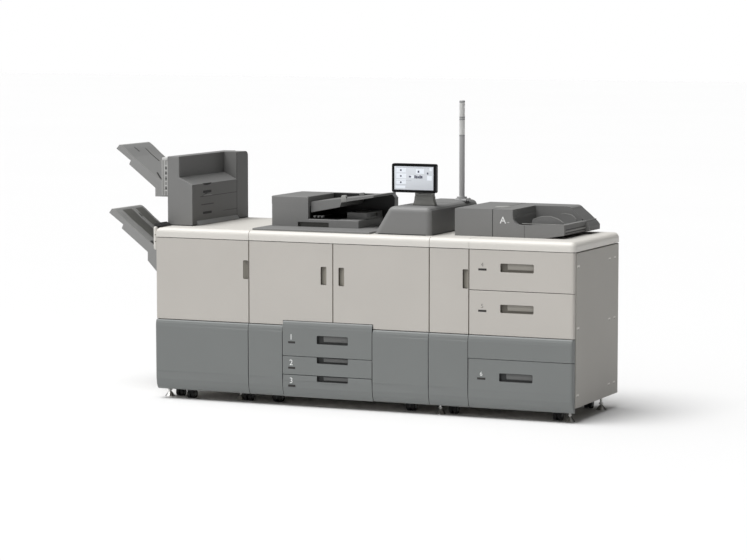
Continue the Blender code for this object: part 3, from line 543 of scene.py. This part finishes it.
# Painted shade in the tower's seams.
seams = merged(block((TOWER_RIGHT - 0.001, 0.250, 1.1845), (TOWER_RIGHT + 0.0006, 0.742, 1.1868)),
               block((TOWER_RIGHT - 0.001, 0.560, 1.0835), (TOWER_RIGHT + 0.0006, 0.742, 1.0853)),
               block((TOWER_RIGHT - 0.001, 0.742, 1.022), (TOWER_RIGHT + 0.0006, 0.7445, 1.426)))
piece("tower_seams", seams, HOLE_SHADE, "root")
skirt = prism([(TOWER_RIGHT - 0.002, 1.019), (TOWER_RIGHT + 0.018, 1.019), (TOWER_RIGHT + 0.018, 1.023),
               (TOWER_RIGHT - 0.002, 1.047)], "Y", 0.205, 0.745, 0.001)
piece("tower_skirt", skirt, TRAY, "root")
shadow = merged(block((-0.003, 0.1492, 1.0186), (TOWER_RIGHT - 0.001, 0.151, 1.0235)),
                block((TOWER_RIGHT - 0.001, 0.1515, 1.0186), (TOWER_RIGHT + 0.0008, 0.205, 1.0235)),
                block((TOWER_RIGHT - 0.001, 0.745, 1.0186), (TOWER_RIGHT + 0.0008, 0.897, 1.0225)))
piece("tower_base_shadow_gap", shadow, GREY_DEEP_SHADE, "root")

# ---------------------------------------------------------------- output trays
TRAY_SLOPE = ((0.0, 0.0), (0.016, -0.004), (0.040, -0.022), (0.095, -0.070), (0.239, -0.180))
ROOT_SLOPE = 0.72


def tray_z(dx):
    """Height of a stack tray's top above its tip, at a distance from the tip."""
    for (x0, z0), (x1, z1) in zip(TRAY_SLOPE, TRAY_SLOPE[1:]):
        if dx <= x1:
            return z0 + (z1 - z0) * (dx - x0) / (x1 - x0)
    x0, z0 = TRAY_SLOPE[-1]
    return z0 - ROOT_SLOPE * (dx - x0)


def on_tray(tip, start, end, lift, sink=0.001):
    """A strip that follows a tray's top. Start and end are (distance from the tip, y0, y1)."""
    breaks = [dx for dx, z in TRAY_SLOPE if start[0] < dx < end[0]]
    stations = [start[0], *breaks, end[0]]
    bm = bmesh.new()
    rings = []
    for dx in stations:
        t = (dx - start[0]) / (end[0] - start[0])
        y0, y1 = (start[k] + (end[k] - start[k]) * t for k in (1, 2))
        x, z = tip[0] + dx, tip[1] + tray_z(dx)
        rings.append([bm.verts.new(corner) for corner in
                      ((x, y0, z - sink), (x, y1, z - sink), (x, y1, z + lift), (x, y0, z + lift))])
    for a, b in zip(rings, rings[1:]):
        for i in range(4):
            bm.faces.new((a[i], a[(i + 1) % 4], b[(i + 1) % 4], b[i]))
    bm.faces.new(rings[0])
    bm.faces.new(rings[-1])
    bmesh.ops.recalc_face_normals(bm, faces=bm.faces)
    return bm


UPPER_TIP = (span("upper_stack_tray")[0].x + 0.019, 1.481)
LOWER_TIP = (span("lower_stack_tray")[0].x + 0.019, 1.092)
UPPER_REACH, LOWER_REACH = 0.364, 0.436
# Painted shade standing in for the upper tray's grooves.
piece("upper_tray_grooves", merged(
    on_tray(UPPER_TIP, (0.050, 0.536, 0.543), (0.143, 0.538, 0.549), 0.0006),
    on_tray(UPPER_TIP, (0.034, 0.420, 0.428), (0.066, 0.428, 0.440), 0.0006),
    on_tray(UPPER_TIP, (0.220, 0.362, 0.380), (0.256, 0.330, 0.350), 0.0006),
    on_tray(UPPER_TIP, (0.256, 0.330, 0.350), (0.300, 0.316, 0.334), 0.0006)),
    GROOVE_SHADE, "root")
piece("upper_tray_rails", merged(
    on_tray(UPPER_TIP, (0.004, 0.3005, 0.306), (UPPER_REACH, 0.3005, 0.306), 0.0014),
    on_tray(UPPER_TIP, (0.040, 0.551, 0.560), (0.300, 0.551, 0.560), 0.0016),
    on_tray(UPPER_TIP, (0.004, 0.655, 0.6645), (UPPER_REACH, 0.655, 0.6645), 0.0022)),
    RAIL_AND_HIGHLIGHT, "root")
# Painted shade standing in for the lower tray's channels.
piece("lower_tray_channels", merged(
    on_tray(LOWER_TIP, (0.026, 0.388, 0.502), (LOWER_REACH, 0.398, 0.502), 0.0006),
    on_tray(LOWER_TIP, (0.026, 0.552, 0.642), (LOWER_REACH, 0.552, 0.642), 0.0006)),
    RECESS_SHADE_GREY, "lower_tray")
piece("lower_tray_rails", merged(
    on_tray(LOWER_TIP, (0.004, 0.3005, 0.307), (LOWER_REACH, 0.3005, 0.307), 0.0014),
    on_tray(LOWER_TIP, (0.030, 0.509, 0.520), (0.200, 0.524, 0.536), 0.0030),
    on_tray(LOWER_TIP, (0.200, 0.524, 0.536), (LOWER_REACH, 0.524, 0.536), 0.0030),
    on_tray(LOWER_TIP, (0.030, 0.362, 0.366), (0.140, 0.372, 0.376), 0.0014)),
    RAIL_AND_HIGHLIGHT, "lower_tray")
# Painted shade in the lower tray's slots.
piece("lower_tray_slot", merged(
    on_tray(LOWER_TIP, (0.250, 0.318, 0.352), (0.300, 0.306, 0.340), 0.0007),
    on_tray(LOWER_TIP, (0.060, 0.522, 0.540), (0.082, 0.524, 0.546), 0.0007)),
    GROOVE_SHADE, "lower_tray")
for name, tip, reach, body in (("upper_tray", UPPER_TIP, UPPER_REACH, "root"),
                               ("lower_tray", LOWER_TIP, LOWER_REACH, "lower_tray")):
    tip_bar = on_tray(tip, (0.0, 0.304, 0.661), (0.014, 0.304, 0.661), 0.0008)
    foot_x, foot_z = tip[0] + 0.262, tip[1] - 0.275
    shelf = block((foot_x, 0.3004, foot_z - 0.006), (tip[0] + reach, 0.3015, foot_z + 0.004), 0.0005)
    piece(name + "_tip_bar", tip_bar, RAIL_AND_HIGHLIGHT, body)
    piece(name + "_foot_line", shelf, RAIL_AND_HIGHLIGHT, body)

# ---------------------------------------------------------------- end fences
FENCE_LEFT = TOWER_LOW.x
FENCE_Y = (0.1505, 0.186)
ribs = [block((FENCE_LEFT - 0.0004, y, 1.200), (FENCE_LEFT + 0.004, y + 0.006, 1.408), 0.001)
        for y in (0.190, 0.215, 0.240, 0.265, 0.680)]
ribs += [block((x, FENCE_Y[0] - 0.0016, 1.196), (x + 0.0040, FENCE_Y[0] + 0.002, 1.404), 0.001)
         for x in (FENCE_LEFT + 0.001, FENCE_LEFT + 0.018, FENCE_LEFT + 0.0355)]
ribs += [block((FENCE_LEFT + 0.018, FENCE_Y[0] - 0.0014, z), (-0.0065, FENCE_Y[0] + 0.002, z + 0.005),
               0.001)
         for z in (1.222, 1.252, 1.276, 1.312, 1.342, 1.372)]
piece("tower_fence_ribs", merged(*ribs), FENCE_PALE_AND_HIGHLIGHT, "root")
post = block((FENCE_LEFT - 0.0002, FENCE_Y[0], 1.1925), (-0.0063, FENCE_Y[1], 1.404), 0.003)
piece("tower_fence_post", post, FENCE_GREY, "root")
cap = block((FENCE_LEFT - 0.0003, FENCE_Y[0] - 0.001, 1.402), (-0.0062, 0.701, 1.4215), 0.007, 4)
piece("tower_fence_cap", cap, FENCE_PALE_AND_HIGHLIGHT, "root")
# Painted shade in the fence's pits.
pits = [block((FENCE_LEFT + 0.024, FENCE_Y[0] - 0.0006, z),
              (FENCE_LEFT + 0.034, FENCE_Y[0] + 0.002, z + 0.012), 0.001)
        for z in (1.232, 1.290, 1.322, 1.352)]
piece("tower_fence_pits", merged(*pits), GREY_DEEP_SHADE, "root")

GUARD_X = (FINISHER_LEFT - 0.0225, FINISHER_LEFT - 0.0004)
GUARD_Z = (0.884, 1.021)
guard = [block((GUARD_X[0], 0.004, GUARD_Z[0]), (GUARD_X[1], 0.300, GUARD_Z[1]), 0.010, 4),
         block((GUARD_X[0], 0.665, GUARD_Z[0]), (GUARD_X[1], 0.722, GUARD_Z[1]), 0.010, 4),
         block((GUARD_X[0], 0.280, 0.930), (GUARD_X[1], 0.685, GUARD_Z[1]), 0.010, 4)]
piece("exit_guard", merged(*guard), CREAM, "root")
# Painted shade in the exit guard's slits.
slits = [block((GUARD_X[0] - 0.0003, 0.030 + 0.035 * i, 0.905),
               (GUARD_X[0] + 0.002, 0.036 + 0.035 * i, 0.995))
         for i in range(8)]
slits += [block((GUARD_X[0] + 0.010, 0.0034, z), (GUARD_X[1] - 0.004, 0.006, z + 0.005))
          for z in (0.930, 0.970)]
piece("exit_guard_slits", merged(*slits), BEIGE_RECESS_SHADE, "root")
HOOD_OUTLINE = ((-0.022, 1.0215), (0.034, 1.0215), (0.022, 1.030), (-0.002, 1.042), (-0.016, 1.040),
                (-0.022, 1.032))
hood = prism([(FINISHER_LEFT + dx, z) for dx, z in HOOD_OUTLINE], "Y", 0.016, 0.140, 0.003)
piece("exit_hood", hood, BLACK_PLASTIC_AND_SHADE, "root")

# ---------------------------------------------------------------- document feeder
FEED_FRONT = span("feeder_lid")[0].y
mat = block((0.874, 0.262, 1.0757), (1.052, 0.611, 1.0775), 0.0005)
piece("exit_mat", mat, BLACK_PLASTIC_AND_SHADE, "lid")
rollers = [rod(0.0065, (x, 0.268, 1.090), (x, 0.300, 1.090), 16, 0.001)
           for x in (0.900, 0.925, 0.948)]
piece("exit_rollers", merged(*rollers), GREY_PART_AND_SHADE, "lid")
# Painted shade in the lid's front recess.
piece("lid_front_recess", block((0.802, FEED_FRONT + 0.0195, 1.0315), (0.998, FEED_FRONT + 0.0216, 1.0575)),
      RECESS_SHADE_GREY, "lid")
piece("exit_shade", block((0.8685, 0.275, 1.082), (0.8705, 0.611, 1.150)), BLACK_PLASTIC_AND_SHADE, "lid")
side_guide = prism([(1.066, 1.176), (1.098, 1.181), (1.098, 1.214), (1.092, 1.220), (1.070, 1.218),
                    (1.066, 1.212)], "Y", 0.2795, 0.300, 0.002)
piece("sheet_guide_front", side_guide, RAIL_AND_HIGHLIGHT, "sheet_tray")
rear_guide = prism([(1.066, 1.190), (1.098, 1.194), (1.098, 1.214), (1.092, 1.219), (1.070, 1.217),
                    (1.066, 1.212)], "Y", 0.540, 0.556, 0.002)
piece("sheet_guide_rear", rear_guide, DARK, "sheet_tray")

# ---------------------------------------------------------------- screen
FACE = span("touch_screen")[0].y
BORDER = 0.0160
GLASS_X = (1.4325 + BORDER, 1.7065 - BORDER)
GLASS_Z = (1.254 + BORDER, 1.420 - BORDER)
PAGE_LIFT = 0.0004
TILE_LIFT = 0.0002
RULE_LIFT = 0.0003
MARK_LIFT = 0.0004
page = block((GLASS_X[0], FACE - PAGE_LIFT, GLASS_Z[0]), (GLASS_X[1], FACE + 0.001, GLASS_Z[1]), 0.0003)
piece("screen_page", page, SCREEN, "screen")
width, height = GLASS_X[1] - GLASS_X[0], GLASS_Z[1] - GLASS_Z[0]


def on_screen(u0, u1, v0, v1, lift):
    """A flat patch of the page, placed by fractions of the page's width and height."""
    return block((GLASS_X[0] + u0 * width, FACE - PAGE_LIFT - lift, GLASS_Z[0] + v0 * height),
                 (GLASS_X[0] + u1 * width, FACE - 0.0002, GLASS_Z[0] + v1 * height))


TILES = ((0.05, 0.30, 0.74, 0.94), (0.05, 0.30, 0.49, 0.69), (0.05, 0.30, 0.24, 0.44),
         (0.03, 0.28, 0.06, 0.17), (0.40, 0.50, 0.50, 0.62), (0.55, 0.76, 0.70, 0.90),
         (0.84, 0.96, 0.42, 0.62), (0.90, 0.96, 0.82, 0.96))
MARKS = ((0.375, 0.43, 0.53, 0.60), (0.835, 0.875, 0.68, 0.76), (0.60, 0.64, 0.74, 0.83))
RULES = ((0.04, 0.96, 0.955, 0.962), (0.04, 0.44, 0.385, 0.390))
tiles = [on_screen(*patch, TILE_LIFT) for patch in TILES]
piece("screen_tiles", merged(*tiles), SCREEN_TILE, "screen")
marks = [on_screen(0.145, 0.185, v, v + 0.07, MARK_LIFT) for v in (0.80, 0.55, 0.28)]
for i in range(5):
    u = 0.515 + 0.043 * i
    marks.append(on_screen(u, u + 0.034, 0.50 - 0.01 * (i % 2), 0.63 - 0.02 * (i % 3), MARK_LIFT))
marks += [on_screen(*patch, MARK_LIFT) for patch in MARKS]
marks += [on_screen(*patch, RULE_LIFT) for patch in RULES]
piece("screen_marks", merged(*marks), SCREEN_INK, "screen")

# ---------------------------------------------------------------- neck, housing and pole
NECK_LOW, NECK_HIGH = span("panel_neck")
neck_x = (NECK_LOW.x + NECK_HIGH.x) / 2
flare = prism([(neck_x - 0.0572, 1.232), (neck_x + 0.0572, 1.232), (neck_x + 0.0590, 1.210),
               (neck_x + 0.0635, 1.194), (neck_x + 0.0710, 1.1812), (neck_x - 0.0710, 1.1812),
               (neck_x - 0.0635, 1.194), (neck_x - 0.0590, 1.210)],
              "Y", NECK_LOW.y - 0.004, NECK_HIGH.y + 0.004, 0.003)
piece("neck_flare", flare, NECK, "neck")
NECK_IN = NECK_LOW.y + 0.001
# Painted shade in the neck's seams.
band = merged(block((neck_x - 0.034, NECK_LOW.y - 0.0005, 1.245), (neck_x + 0.045, NECK_IN, 1.2485)),
              block((neck_x - 0.0575, NECK_LOW.y - 0.0004, 1.2365), (neck_x + 0.0575, NECK_IN, 1.2380)))
piece("neck_seams", band, GREY_DEEP_SHADE, "neck")
HUMP_LOW, HUMP_HIGH = span("panel_housing")
# Painted shadow line along the foot of the panel housing, on its front and right side.
BASE_SHADOW_TOP = HUMP_LOW.z + 0.0055
foot_shadow = block((HUMP_LOW.x + 0.030, HUMP_LOW.y - 0.0006, HUMP_LOW.z),
                 (HUMP_HIGH.x - 0.030, HUMP_LOW.y + 0.001, BASE_SHADOW_TOP))
side_shadow = block((HUMP_HIGH.x - 0.001, HUMP_LOW.y + 0.034, HUMP_LOW.z),
                 (HUMP_HIGH.x + 0.0006, HUMP_HIGH.y - 0.002, BASE_SHADOW_TOP))
piece("housing_base_shadow_line", merged(foot_shadow, side_shadow), GREY_DEEP_SHADE, "root")
# Painted shade in the housing's top seam.
seam = block((1.480, 0.470, 1.1796), (1.682, 0.4725, 1.1805))
piece("housing_top_seam", seam, GREY_DEEP_SHADE, "root")
POLE_X, POLE_Y, POLE_R = 1.675, 0.655, 0.0162
rings = [rod(POLE_R + 0.0006, (POLE_X, POLE_Y, z), (POLE_X, POLE_Y, z + 0.004), 32, 0.0004)
         for z in (1.560, 1.654, 1.669, 1.757)]
piece("pole_rings", merged(*rings), GREY, "root")
PLATE_SCREWS = ((-0.026, -0.022), (0.030, -0.022), (-0.026, 0.041), (0.030, 0.041))
screw_places = [(POLE_X + dx, POLE_Y + dy) for dx, dy in PLATE_SCREWS]
plate_screws = [rod(0.0045, (x, y, 1.1925), (x, y, 1.1955), 12, 0.0008) for x, y in screw_places]
piece("pole_plate_screws", merged(*plate_screws), STEEL, "root")

# ---------------------------------------------------------------- bypass unit
BY_LOW, BY_HIGH = span("bypass_tray")
FRONT_Y, TOP = BY_LOW.y, BY_HIGH.z
SPLIT = BY_LOW.x
FRONT_IN = FRONT_Y + 0.001
# Painted shade in the bypass seam.
seam = merged(block((SPLIT - 0.0032, FRONT_Y - 0.0005, 1.0190), (SPLIT + 0.0006, FRONT_IN, TOP - 0.001)),
              block((SPLIT - 0.0028, FRONT_Y + 0.004, TOP - 0.001), (SPLIT + 0.0002, 0.705, TOP + 0.0005)))
piece("bypass_seam", seam, BLACK_PLASTIC_AND_SHADE, "root")
# Painted shade in the bypass wall's seam.
wall_seam = block((2.2500, FRONT_Y - 0.0004, 1.0190), (2.2520, FRONT_IN, 1.0880))
piece("bypass_wall_seam", wall_seam, GREY_DEEP_SHADE, "root")
# Painted highlight along the top edges of the bypass wall and its end.
edge = merged(block((2.236, FRONT_Y - 0.0003, 1.0978), (2.489, FRONT_Y + 0.004, 1.1000), 0.0006),
              block((2.4885, FRONT_Y + 0.002, 1.0958), (2.4908, 0.534, 1.0985), 0.0006))
piece("bypass_wall_highlight", edge, RAIL_AND_HIGHLIGHT, "root")
numeral("bypass_mark", "A", 2.121, 1.096, 0.040, FRONT_Y, WHITE_INK, "root")
dots = merged(*[block((x, FRONT_Y - INK, 1.100), (x + 0.003, FRONT_IN, 1.104))
                for x in (2.146, 2.155)])
piece("bypass_mark_dots", dots, WHITE_INK, "root")
pad = prism([(2.052 + 0.044 * math.cos(a), 0.350 + 0.050 * math.sin(a))
             for a in [math.radians(15 * i) for i in range(24)]], "Z", TOP - 0.001, TOP + 0.0022, 0.0010)
piece("bypass_pad", pad, RAIL_AND_HIGHLIGHT, "root")
# Painted shade in the bypass feed gap.
gap = block((2.1835, FRONT_Y + 0.0285, 1.0600), (2.2050, FRONT_Y + 0.060, 1.0850), 0.002)
piece("bypass_feed_gap", gap, HOLE_SHADE, "root")
stop_post = rod(0.020, (2.250, 0.440, 1.0585), (2.250, 0.440, 1.104), 28, 0.006)
piece("bypass_stop_post", stop_post, DARK, "root")
# Painted shade in the bypass end's grooves.
grooves = merged(*[block((2.4885, 0.196, z), (2.4905, 0.520, z + 0.0040)) for z in (1.0660, 1.0480)])
piece("bypass_end_grooves", grooves, HOLE_SHADE, "root")
end_rib = block((2.4890, 0.190, 1.0560), (2.4912, 0.528, 1.0610), 0.0008)
piece("bypass_end_rib", end_rib, RAIL_AND_HIGHLIGHT, "root")
# Painted shade in the bypass rear slot.
rear_slot = prism([(2.462, 1.108), (2.470, 1.104), (2.478, 1.088), (2.472, 1.086)], "Y", 0.5335, 0.536)
piece("bypass_rear_slot", rear_slot, BLACK_PLASTIC_AND_SHADE, "root")


def crest(body, name, along):
    """A pale rim on a paper guide's fin crest, a painted highlight. Points are (dx, drop) from its highest
    corner.
    """
    low, high = span(name)
    outer = [(high.x + dx, high.z - drop) for dx, drop in along]
    inner = [(x - 0.0008, z - 0.0030) for x, z in outer]
    rim = prism(outer + inner[::-1], "Y", low.y + 0.0110, low.y + 0.0128)
    piece(name + "_rim", rim, RAIL_AND_HIGHLIGHT, body)


FRONT_FIN = ((-0.190, 0.0192), (-0.143, 0.0036), (-0.085, 0.0006), (-0.041, 0.0146), (-0.0078, 0.0356))
REAR_FIN = ((-0.092, 0.0030), (-0.070, 0.0006), (-0.0325, 0.0066), (-0.0125, 0.0186), (-0.0010, 0.0326))
crest("guide_front", "bypass_guide_front", FRONT_FIN)
crest("guide_rear", "bypass_guide_rear", REAR_FIN)

# ---------------------------------------------------------------- feeder side
CLIP_HEIGHTS = (0.881, 0.534, 0.157)
CLIPS = ((0.056, 0.022, 0.007), (0.586, 0.020, 0.005), (0.676, 0.018, 0.005))
clips, holes = [], []
for z in CLIP_HEIGHTS:
    for y, half, tall in CLIPS:
        clips.append(block((END_X - 0.002, y - half, z - tall), (END_X + PROUD, y + half, z + tall), 0.001))
        holes.append(block((END_X - 0.002, y - 0.004, z - 0.0105), (END_X + PROUD, y + 0.004, z - 0.0055)))
piece("side_cover_clips", merged(*clips), CLIP, "root")
# Painted shade in the side cover's slots.
piece("side_cover_slots", merged(*holes), BEIGE_DEEP_SHADE, "root")

# ---------------------------------------------------------------- feet and casters
for name, feet in (("finisher", FINISHER_FEET), ("feeder", FEEDER_FEET)):
    nuts = [rod(0.0125, (x, y, 0.0340), (x, y, 0.0410), 6, 0.0008) for x, y in feet]
    threads = [rod(0.0076, (x, y, z), (x, y, z + 0.0012), 16) for x, y in feet
               for z in [0.0440 + 0.0030 * i for i in range(13)]]
    piece(name + "_foot_nuts", merged(*nuts, *threads), STEEL, "root")
PARKED_Z = 0.0265
for name, casters in (("finisher", FINISHER_CASTERS), ("feeder", FEEDER_CASTERS)):
    hubs, yokes = [], []
    for x, y in casters:
        for side in (-1, 1):
            for radius, near, far, sides, bevel in ((0.0150, 0.0225, 0.0240, 24, 0.0006),
                                                    (0.0045, 0.0235, 0.0252, 12, 0.0005)):
                hubs.append(rod(radius, (x + side * near, y, PARKED_Z), (x + side * far, y, PARKED_Z),
                                sides, bevel))
        yoke = [*arc((y, PARKED_Z), 0.0285, 35, 145, 10), (y - 0.014, 0.0790), (y + 0.014, 0.0790)]
        yokes.append(prism(yoke, "X", x - 0.0245, x + 0.0245, 0.0015))
        yokes.append(rod(0.0230, (x, y, 0.0780), (x, y, 0.0835), 28, 0.0010))
    piece(name + "_caster_hubs", merged(*hubs), GREY_PART_AND_SHADE, "root")
    piece(name + "_caster_yokes", merged(*yokes), BLACK_PLASTIC_AND_SHADE, "root")
for count in (1, 2, 3, 4):
    low, high = span(f"caster_{count}_wheels")
    x, y, z = (low + high) / 2
    hubs = []
    for side in (-1, 1):
        rim = x + side * (high.x - low.x) / 2
        hubs.append(rod(0.0170, (rim - side * 0.0005, y, z), (rim + side * 0.0012, y, z), 24, 0.0006))
        hubs += [rod(0.0028, (rim, y + 0.011 * math.cos(a), z + 0.011 * math.sin(a)),
                     (rim + side * 0.0020, y + 0.011 * math.cos(a), z + 0.011 * math.sin(a)), 10)
                 for a in [math.radians(72 * i) for i in range(5)]]
    piece(f"caster_{count}_hubs", merged(*hubs), GREY_PART_AND_SHADE, f"wheels_{count}")
    guard = prism([*arc((y, z), 0.0335, 30, 150, 12), (y - 0.010, 0.0800), (y + 0.004, 0.0800)],
                  "X", x - 0.0270, x + 0.0270, 0.0015)
    piece(f"caster_{count}_guard", guard, BLACK_PLASTIC_AND_SHADE, f"fork_{count}")

# ---------------------------------------------------------------- backs
ENGINE_BACK = span("engine_cabinet")[1].y
FEEDER_BACK = span("feeder_cabinet")[1].y
SLOT_RADIUS = 0.003
SLOT_PITCH = 0.0125
DRIVE_PROUD = 0.0002
INNER_PROUD = 0.0003


def back_strips(boxes, back, proud=PROUD):
    """Thin dark lines on a back face, given as (x0, x1, z0, z1)."""
    return merged(*[block((x0, back - 0.001, z0), (x1, back + proud, z1)) for x0, x1, z0, z1 in boxes])


def louvres(x0, x1, z0, count, back):
    """A bank of slots with rounded ends for cooling air."""
    slots = []
    for i in range(count):
        z = z0 + SLOT_PITCH * i
        outline = [*arc((x1 - SLOT_RADIUS, z), SLOT_RADIUS, -90, 90, 6),
                   *arc((x0 + SLOT_RADIUS, z), SLOT_RADIUS, 90, 270, 6)]
        slots.append(prism(outline, "Y", back - 0.002, back + PROUD))
    return merged(*slots)


def screws(name, places, back):
    """Cross-headed screws on a back face."""
    heads = [rod(0.0045, (x, back - 0.002, z), (x, back + PROUD, z), 16) for x, z in places]
    piece(name, merged(*heads), STEEL, "root")
    # Painted shade in the screw drives.
    crosses = [block((x - a, back - 0.001, z - b), (x + a, back + DRIVE_PROUD, z + b))
               for x, z in places for a, b in ((0.0028, 0.0006), (0.0006, 0.0028))]
    piece(name + "_drives", merged(*crosses), BLACK_PLASTIC_AND_SHADE, "root")


BACKS = (("finisher", span("finisher_cabinet"), ENGINE_BACK), ("engine", span("engine_cabinet"), ENGINE_BACK),
         ("feeder", span("feeder_cabinet"), FEEDER_BACK))
for name, (low, high), back in BACKS:
    x0, x1 = max(low.x, FINISHER_LEFT) + 0.024, high.x - 0.024
    middle = (x0 + x1) / 2
    lines = [(x0, x1, 0.520, 0.523), (x0, x1, 0.128, 0.131), (x0, x1, 0.936, 0.939),
             (x0, x0 + 0.003, 0.128, 0.939), (x1 - 0.003, x1, 0.128, 0.939),
             (middle - 0.0015, middle + 0.0015, 0.131, 0.520)]
    # Painted shade in the back panels' seams.
    piece(name + "_back_seams", back_strips(lines, back), BEIGE_DEEP_SHADE, "root")
    places = [(x, z) for x in (x0 + 0.016, middle - 0.016, middle + 0.016, x1 - 0.016)
              for z in (0.146, 0.504)]
    places += [(x, z) for x in (x0 + 0.016, middle, x1 - 0.016) for z in (0.540, 0.920)]
    screws(name + "_back_screws", places, back)
    # Painted shade in the back louvres.
    piece(name + "_back_louvres", louvres(x0 + 0.060, x0 + 0.200, 0.600, 16, back), HOLE_SHADE, "root")
    piece(name + "_low_louvres", louvres(x1 - 0.210, x1 - 0.070, 0.200, 12, back), HOLE_SHADE, "root")
inlet = merged(block((1.560, ENGINE_BACK - 0.001, 0.160), (1.608, ENGINE_BACK + PROUD, 0.190), 0.0004))
piece("mains_inlet", inlet, BLACK_PLASTIC_AND_SHADE, "root")
pins = merged(*[block((x, ENGINE_BACK - 0.001, 0.1695), (x + 0.002, ENGINE_BACK + DRIVE_PROUD, 0.1775))
                for x in (1.574, 1.583, 1.592)])
piece("mains_inlet_pins", pins, STEEL, "root")
sockets = merged(*[block((x, ENGINE_BACK - 0.001, 0.760), (x + w, ENGINE_BACK + PROUD, 0.775), 0.0003)
                   for x, w in ((1.440, 0.018), (1.470, 0.014), (1.496, 0.014), (1.522, 0.030))])
piece("data_sockets", sockets, BLACK_PLASTIC_AND_SHADE, "root")
# Painted shade in the louvres and seams on the tower, housing and lid backs.
piece("tower_back_louvres", louvres(0.030, 0.125, 1.080, 10, TOWER_HIGH.y), HOLE_SHADE, "root")
tower_lines = back_strips([(0.002, 0.150, 1.235, 1.2375), (0.002, 0.150, 1.030, 1.0325)], TOWER_HIGH.y,
                          INNER_PROUD)
piece("tower_back_seams", tower_lines, HOLE_SHADE, "root")
piece("housing_back_louvres", louvres(1.500, 1.660, 1.060, 7, HUMP_HIGH.y), HOLE_SHADE, "root")
lid_back = span("feeder_lid")[1].y
lid_lines = back_strips([(0.640, 0.866, 1.100, 1.1025), (0.890, 1.180, 1.060, 1.0625)], lid_back,
                        INNER_PROUD)
piece("lid_back_seams", lid_lines, HOLE_SHADE, "lid")

# ---------------------------------------------------------------- floor, light and camera
FLOOR_HALF = 60.0
LIGHT_SIDE = (-0.55, -0.25, 0.80)
LIGHT_FULL_AT = 0.9
LIGHT_STRENGTH = 0.80
SUN_SIDE = (-0.22, -0.27, 0.94)
SUN_ENERGY = 3.2
SUN_SPREAD = 45
FOCAL_LENGTH = 138.69
CAMERA_AT = (7.9926, -14.9846, 2.3905)
CAMERA_TILT = 90 - 5.685
CAMERA_TURN = 23.76
floor_mesh = bpy.data.meshes.new("floor")
floor_mesh.from_pydata([(-FLOOR_HALF, -FLOOR_HALF, 0), (FLOOR_HALF, -FLOOR_HALF, 0),
                        (FLOOR_HALF, FLOOR_HALF, 0), (-FLOOR_HALF, FLOOR_HALF, 0)], [], [(0, 1, 2, 3)])
floor_mesh.materials.append(shader("floor_paper", (0.71, 0.71, 0.71), 0.9, tint=0.004, patch=0.3, bump=0.0))
floor = bpy.data.objects.new("floor", floor_mesh)
bpy.context.scene.collection.objects.link(floor)

world = bpy.data.worlds.new("studio")
bpy.context.scene.world = world
world.use_nodes = True
sky, links = world.node_tree.nodes, world.node_tree.links
background = sky["Background"]
place = sky.new("ShaderNodeTexCoord")
side = sky.new("ShaderNodeVectorMath")
side.operation = "DOT_PRODUCT"
side.inputs[1].default_value = LIGHT_SIDE
fade = sky.new("ShaderNodeMapRange")
fade.inputs["From Min"].default_value = 0.0
fade.inputs["From Max"].default_value = LIGHT_FULL_AT
fade.inputs["To Min"].default_value = 0.0
fade.inputs["To Max"].default_value = LIGHT_STRENGTH
links.new(place.outputs["Generated"], side.inputs[0])
links.new(side.outputs["Value"], fade.inputs["Value"])
seen = sky.new("ShaderNodeLightPath")
backdrop = sky.new("ShaderNodeMix")
backdrop.inputs["B"].default_value = 1.0
links.new(seen.outputs["Is Camera Ray"], backdrop.inputs["Factor"])
links.new(fade.outputs["Result"], backdrop.inputs["A"])
links.new(backdrop.outputs["Result"], background.inputs["Strength"])
background.inputs["Color"].default_value = (1.0, 1.0, 1.0, 1.0)

key = bpy.data.lights.new("key", "SUN")
key.energy = SUN_ENERGY
key.angle = math.radians(SUN_SPREAD)
key_object = bpy.data.objects.new("key", key)
key_object.rotation_euler = Vector(SUN_SIDE).to_track_quat("Z", "Y").to_euler()
bpy.context.scene.collection.objects.link(key_object)

optics = bpy.data.cameras.new("camera")
optics.lens = FOCAL_LENGTH
optics.sensor_width = 36.0
optics.clip_end = 200.0
camera = bpy.data.objects.new("camera", optics)
camera.location = here(CAMERA_AT)
camera.rotation_euler = (math.radians(CAMERA_TILT), 0.0, math.radians(CAMERA_TURN))
bpy.context.scene.collection.objects.link(camera)
bpy.context.scene.camera = camera
bpy.context.scene.view_settings.view_transform = "Standard"
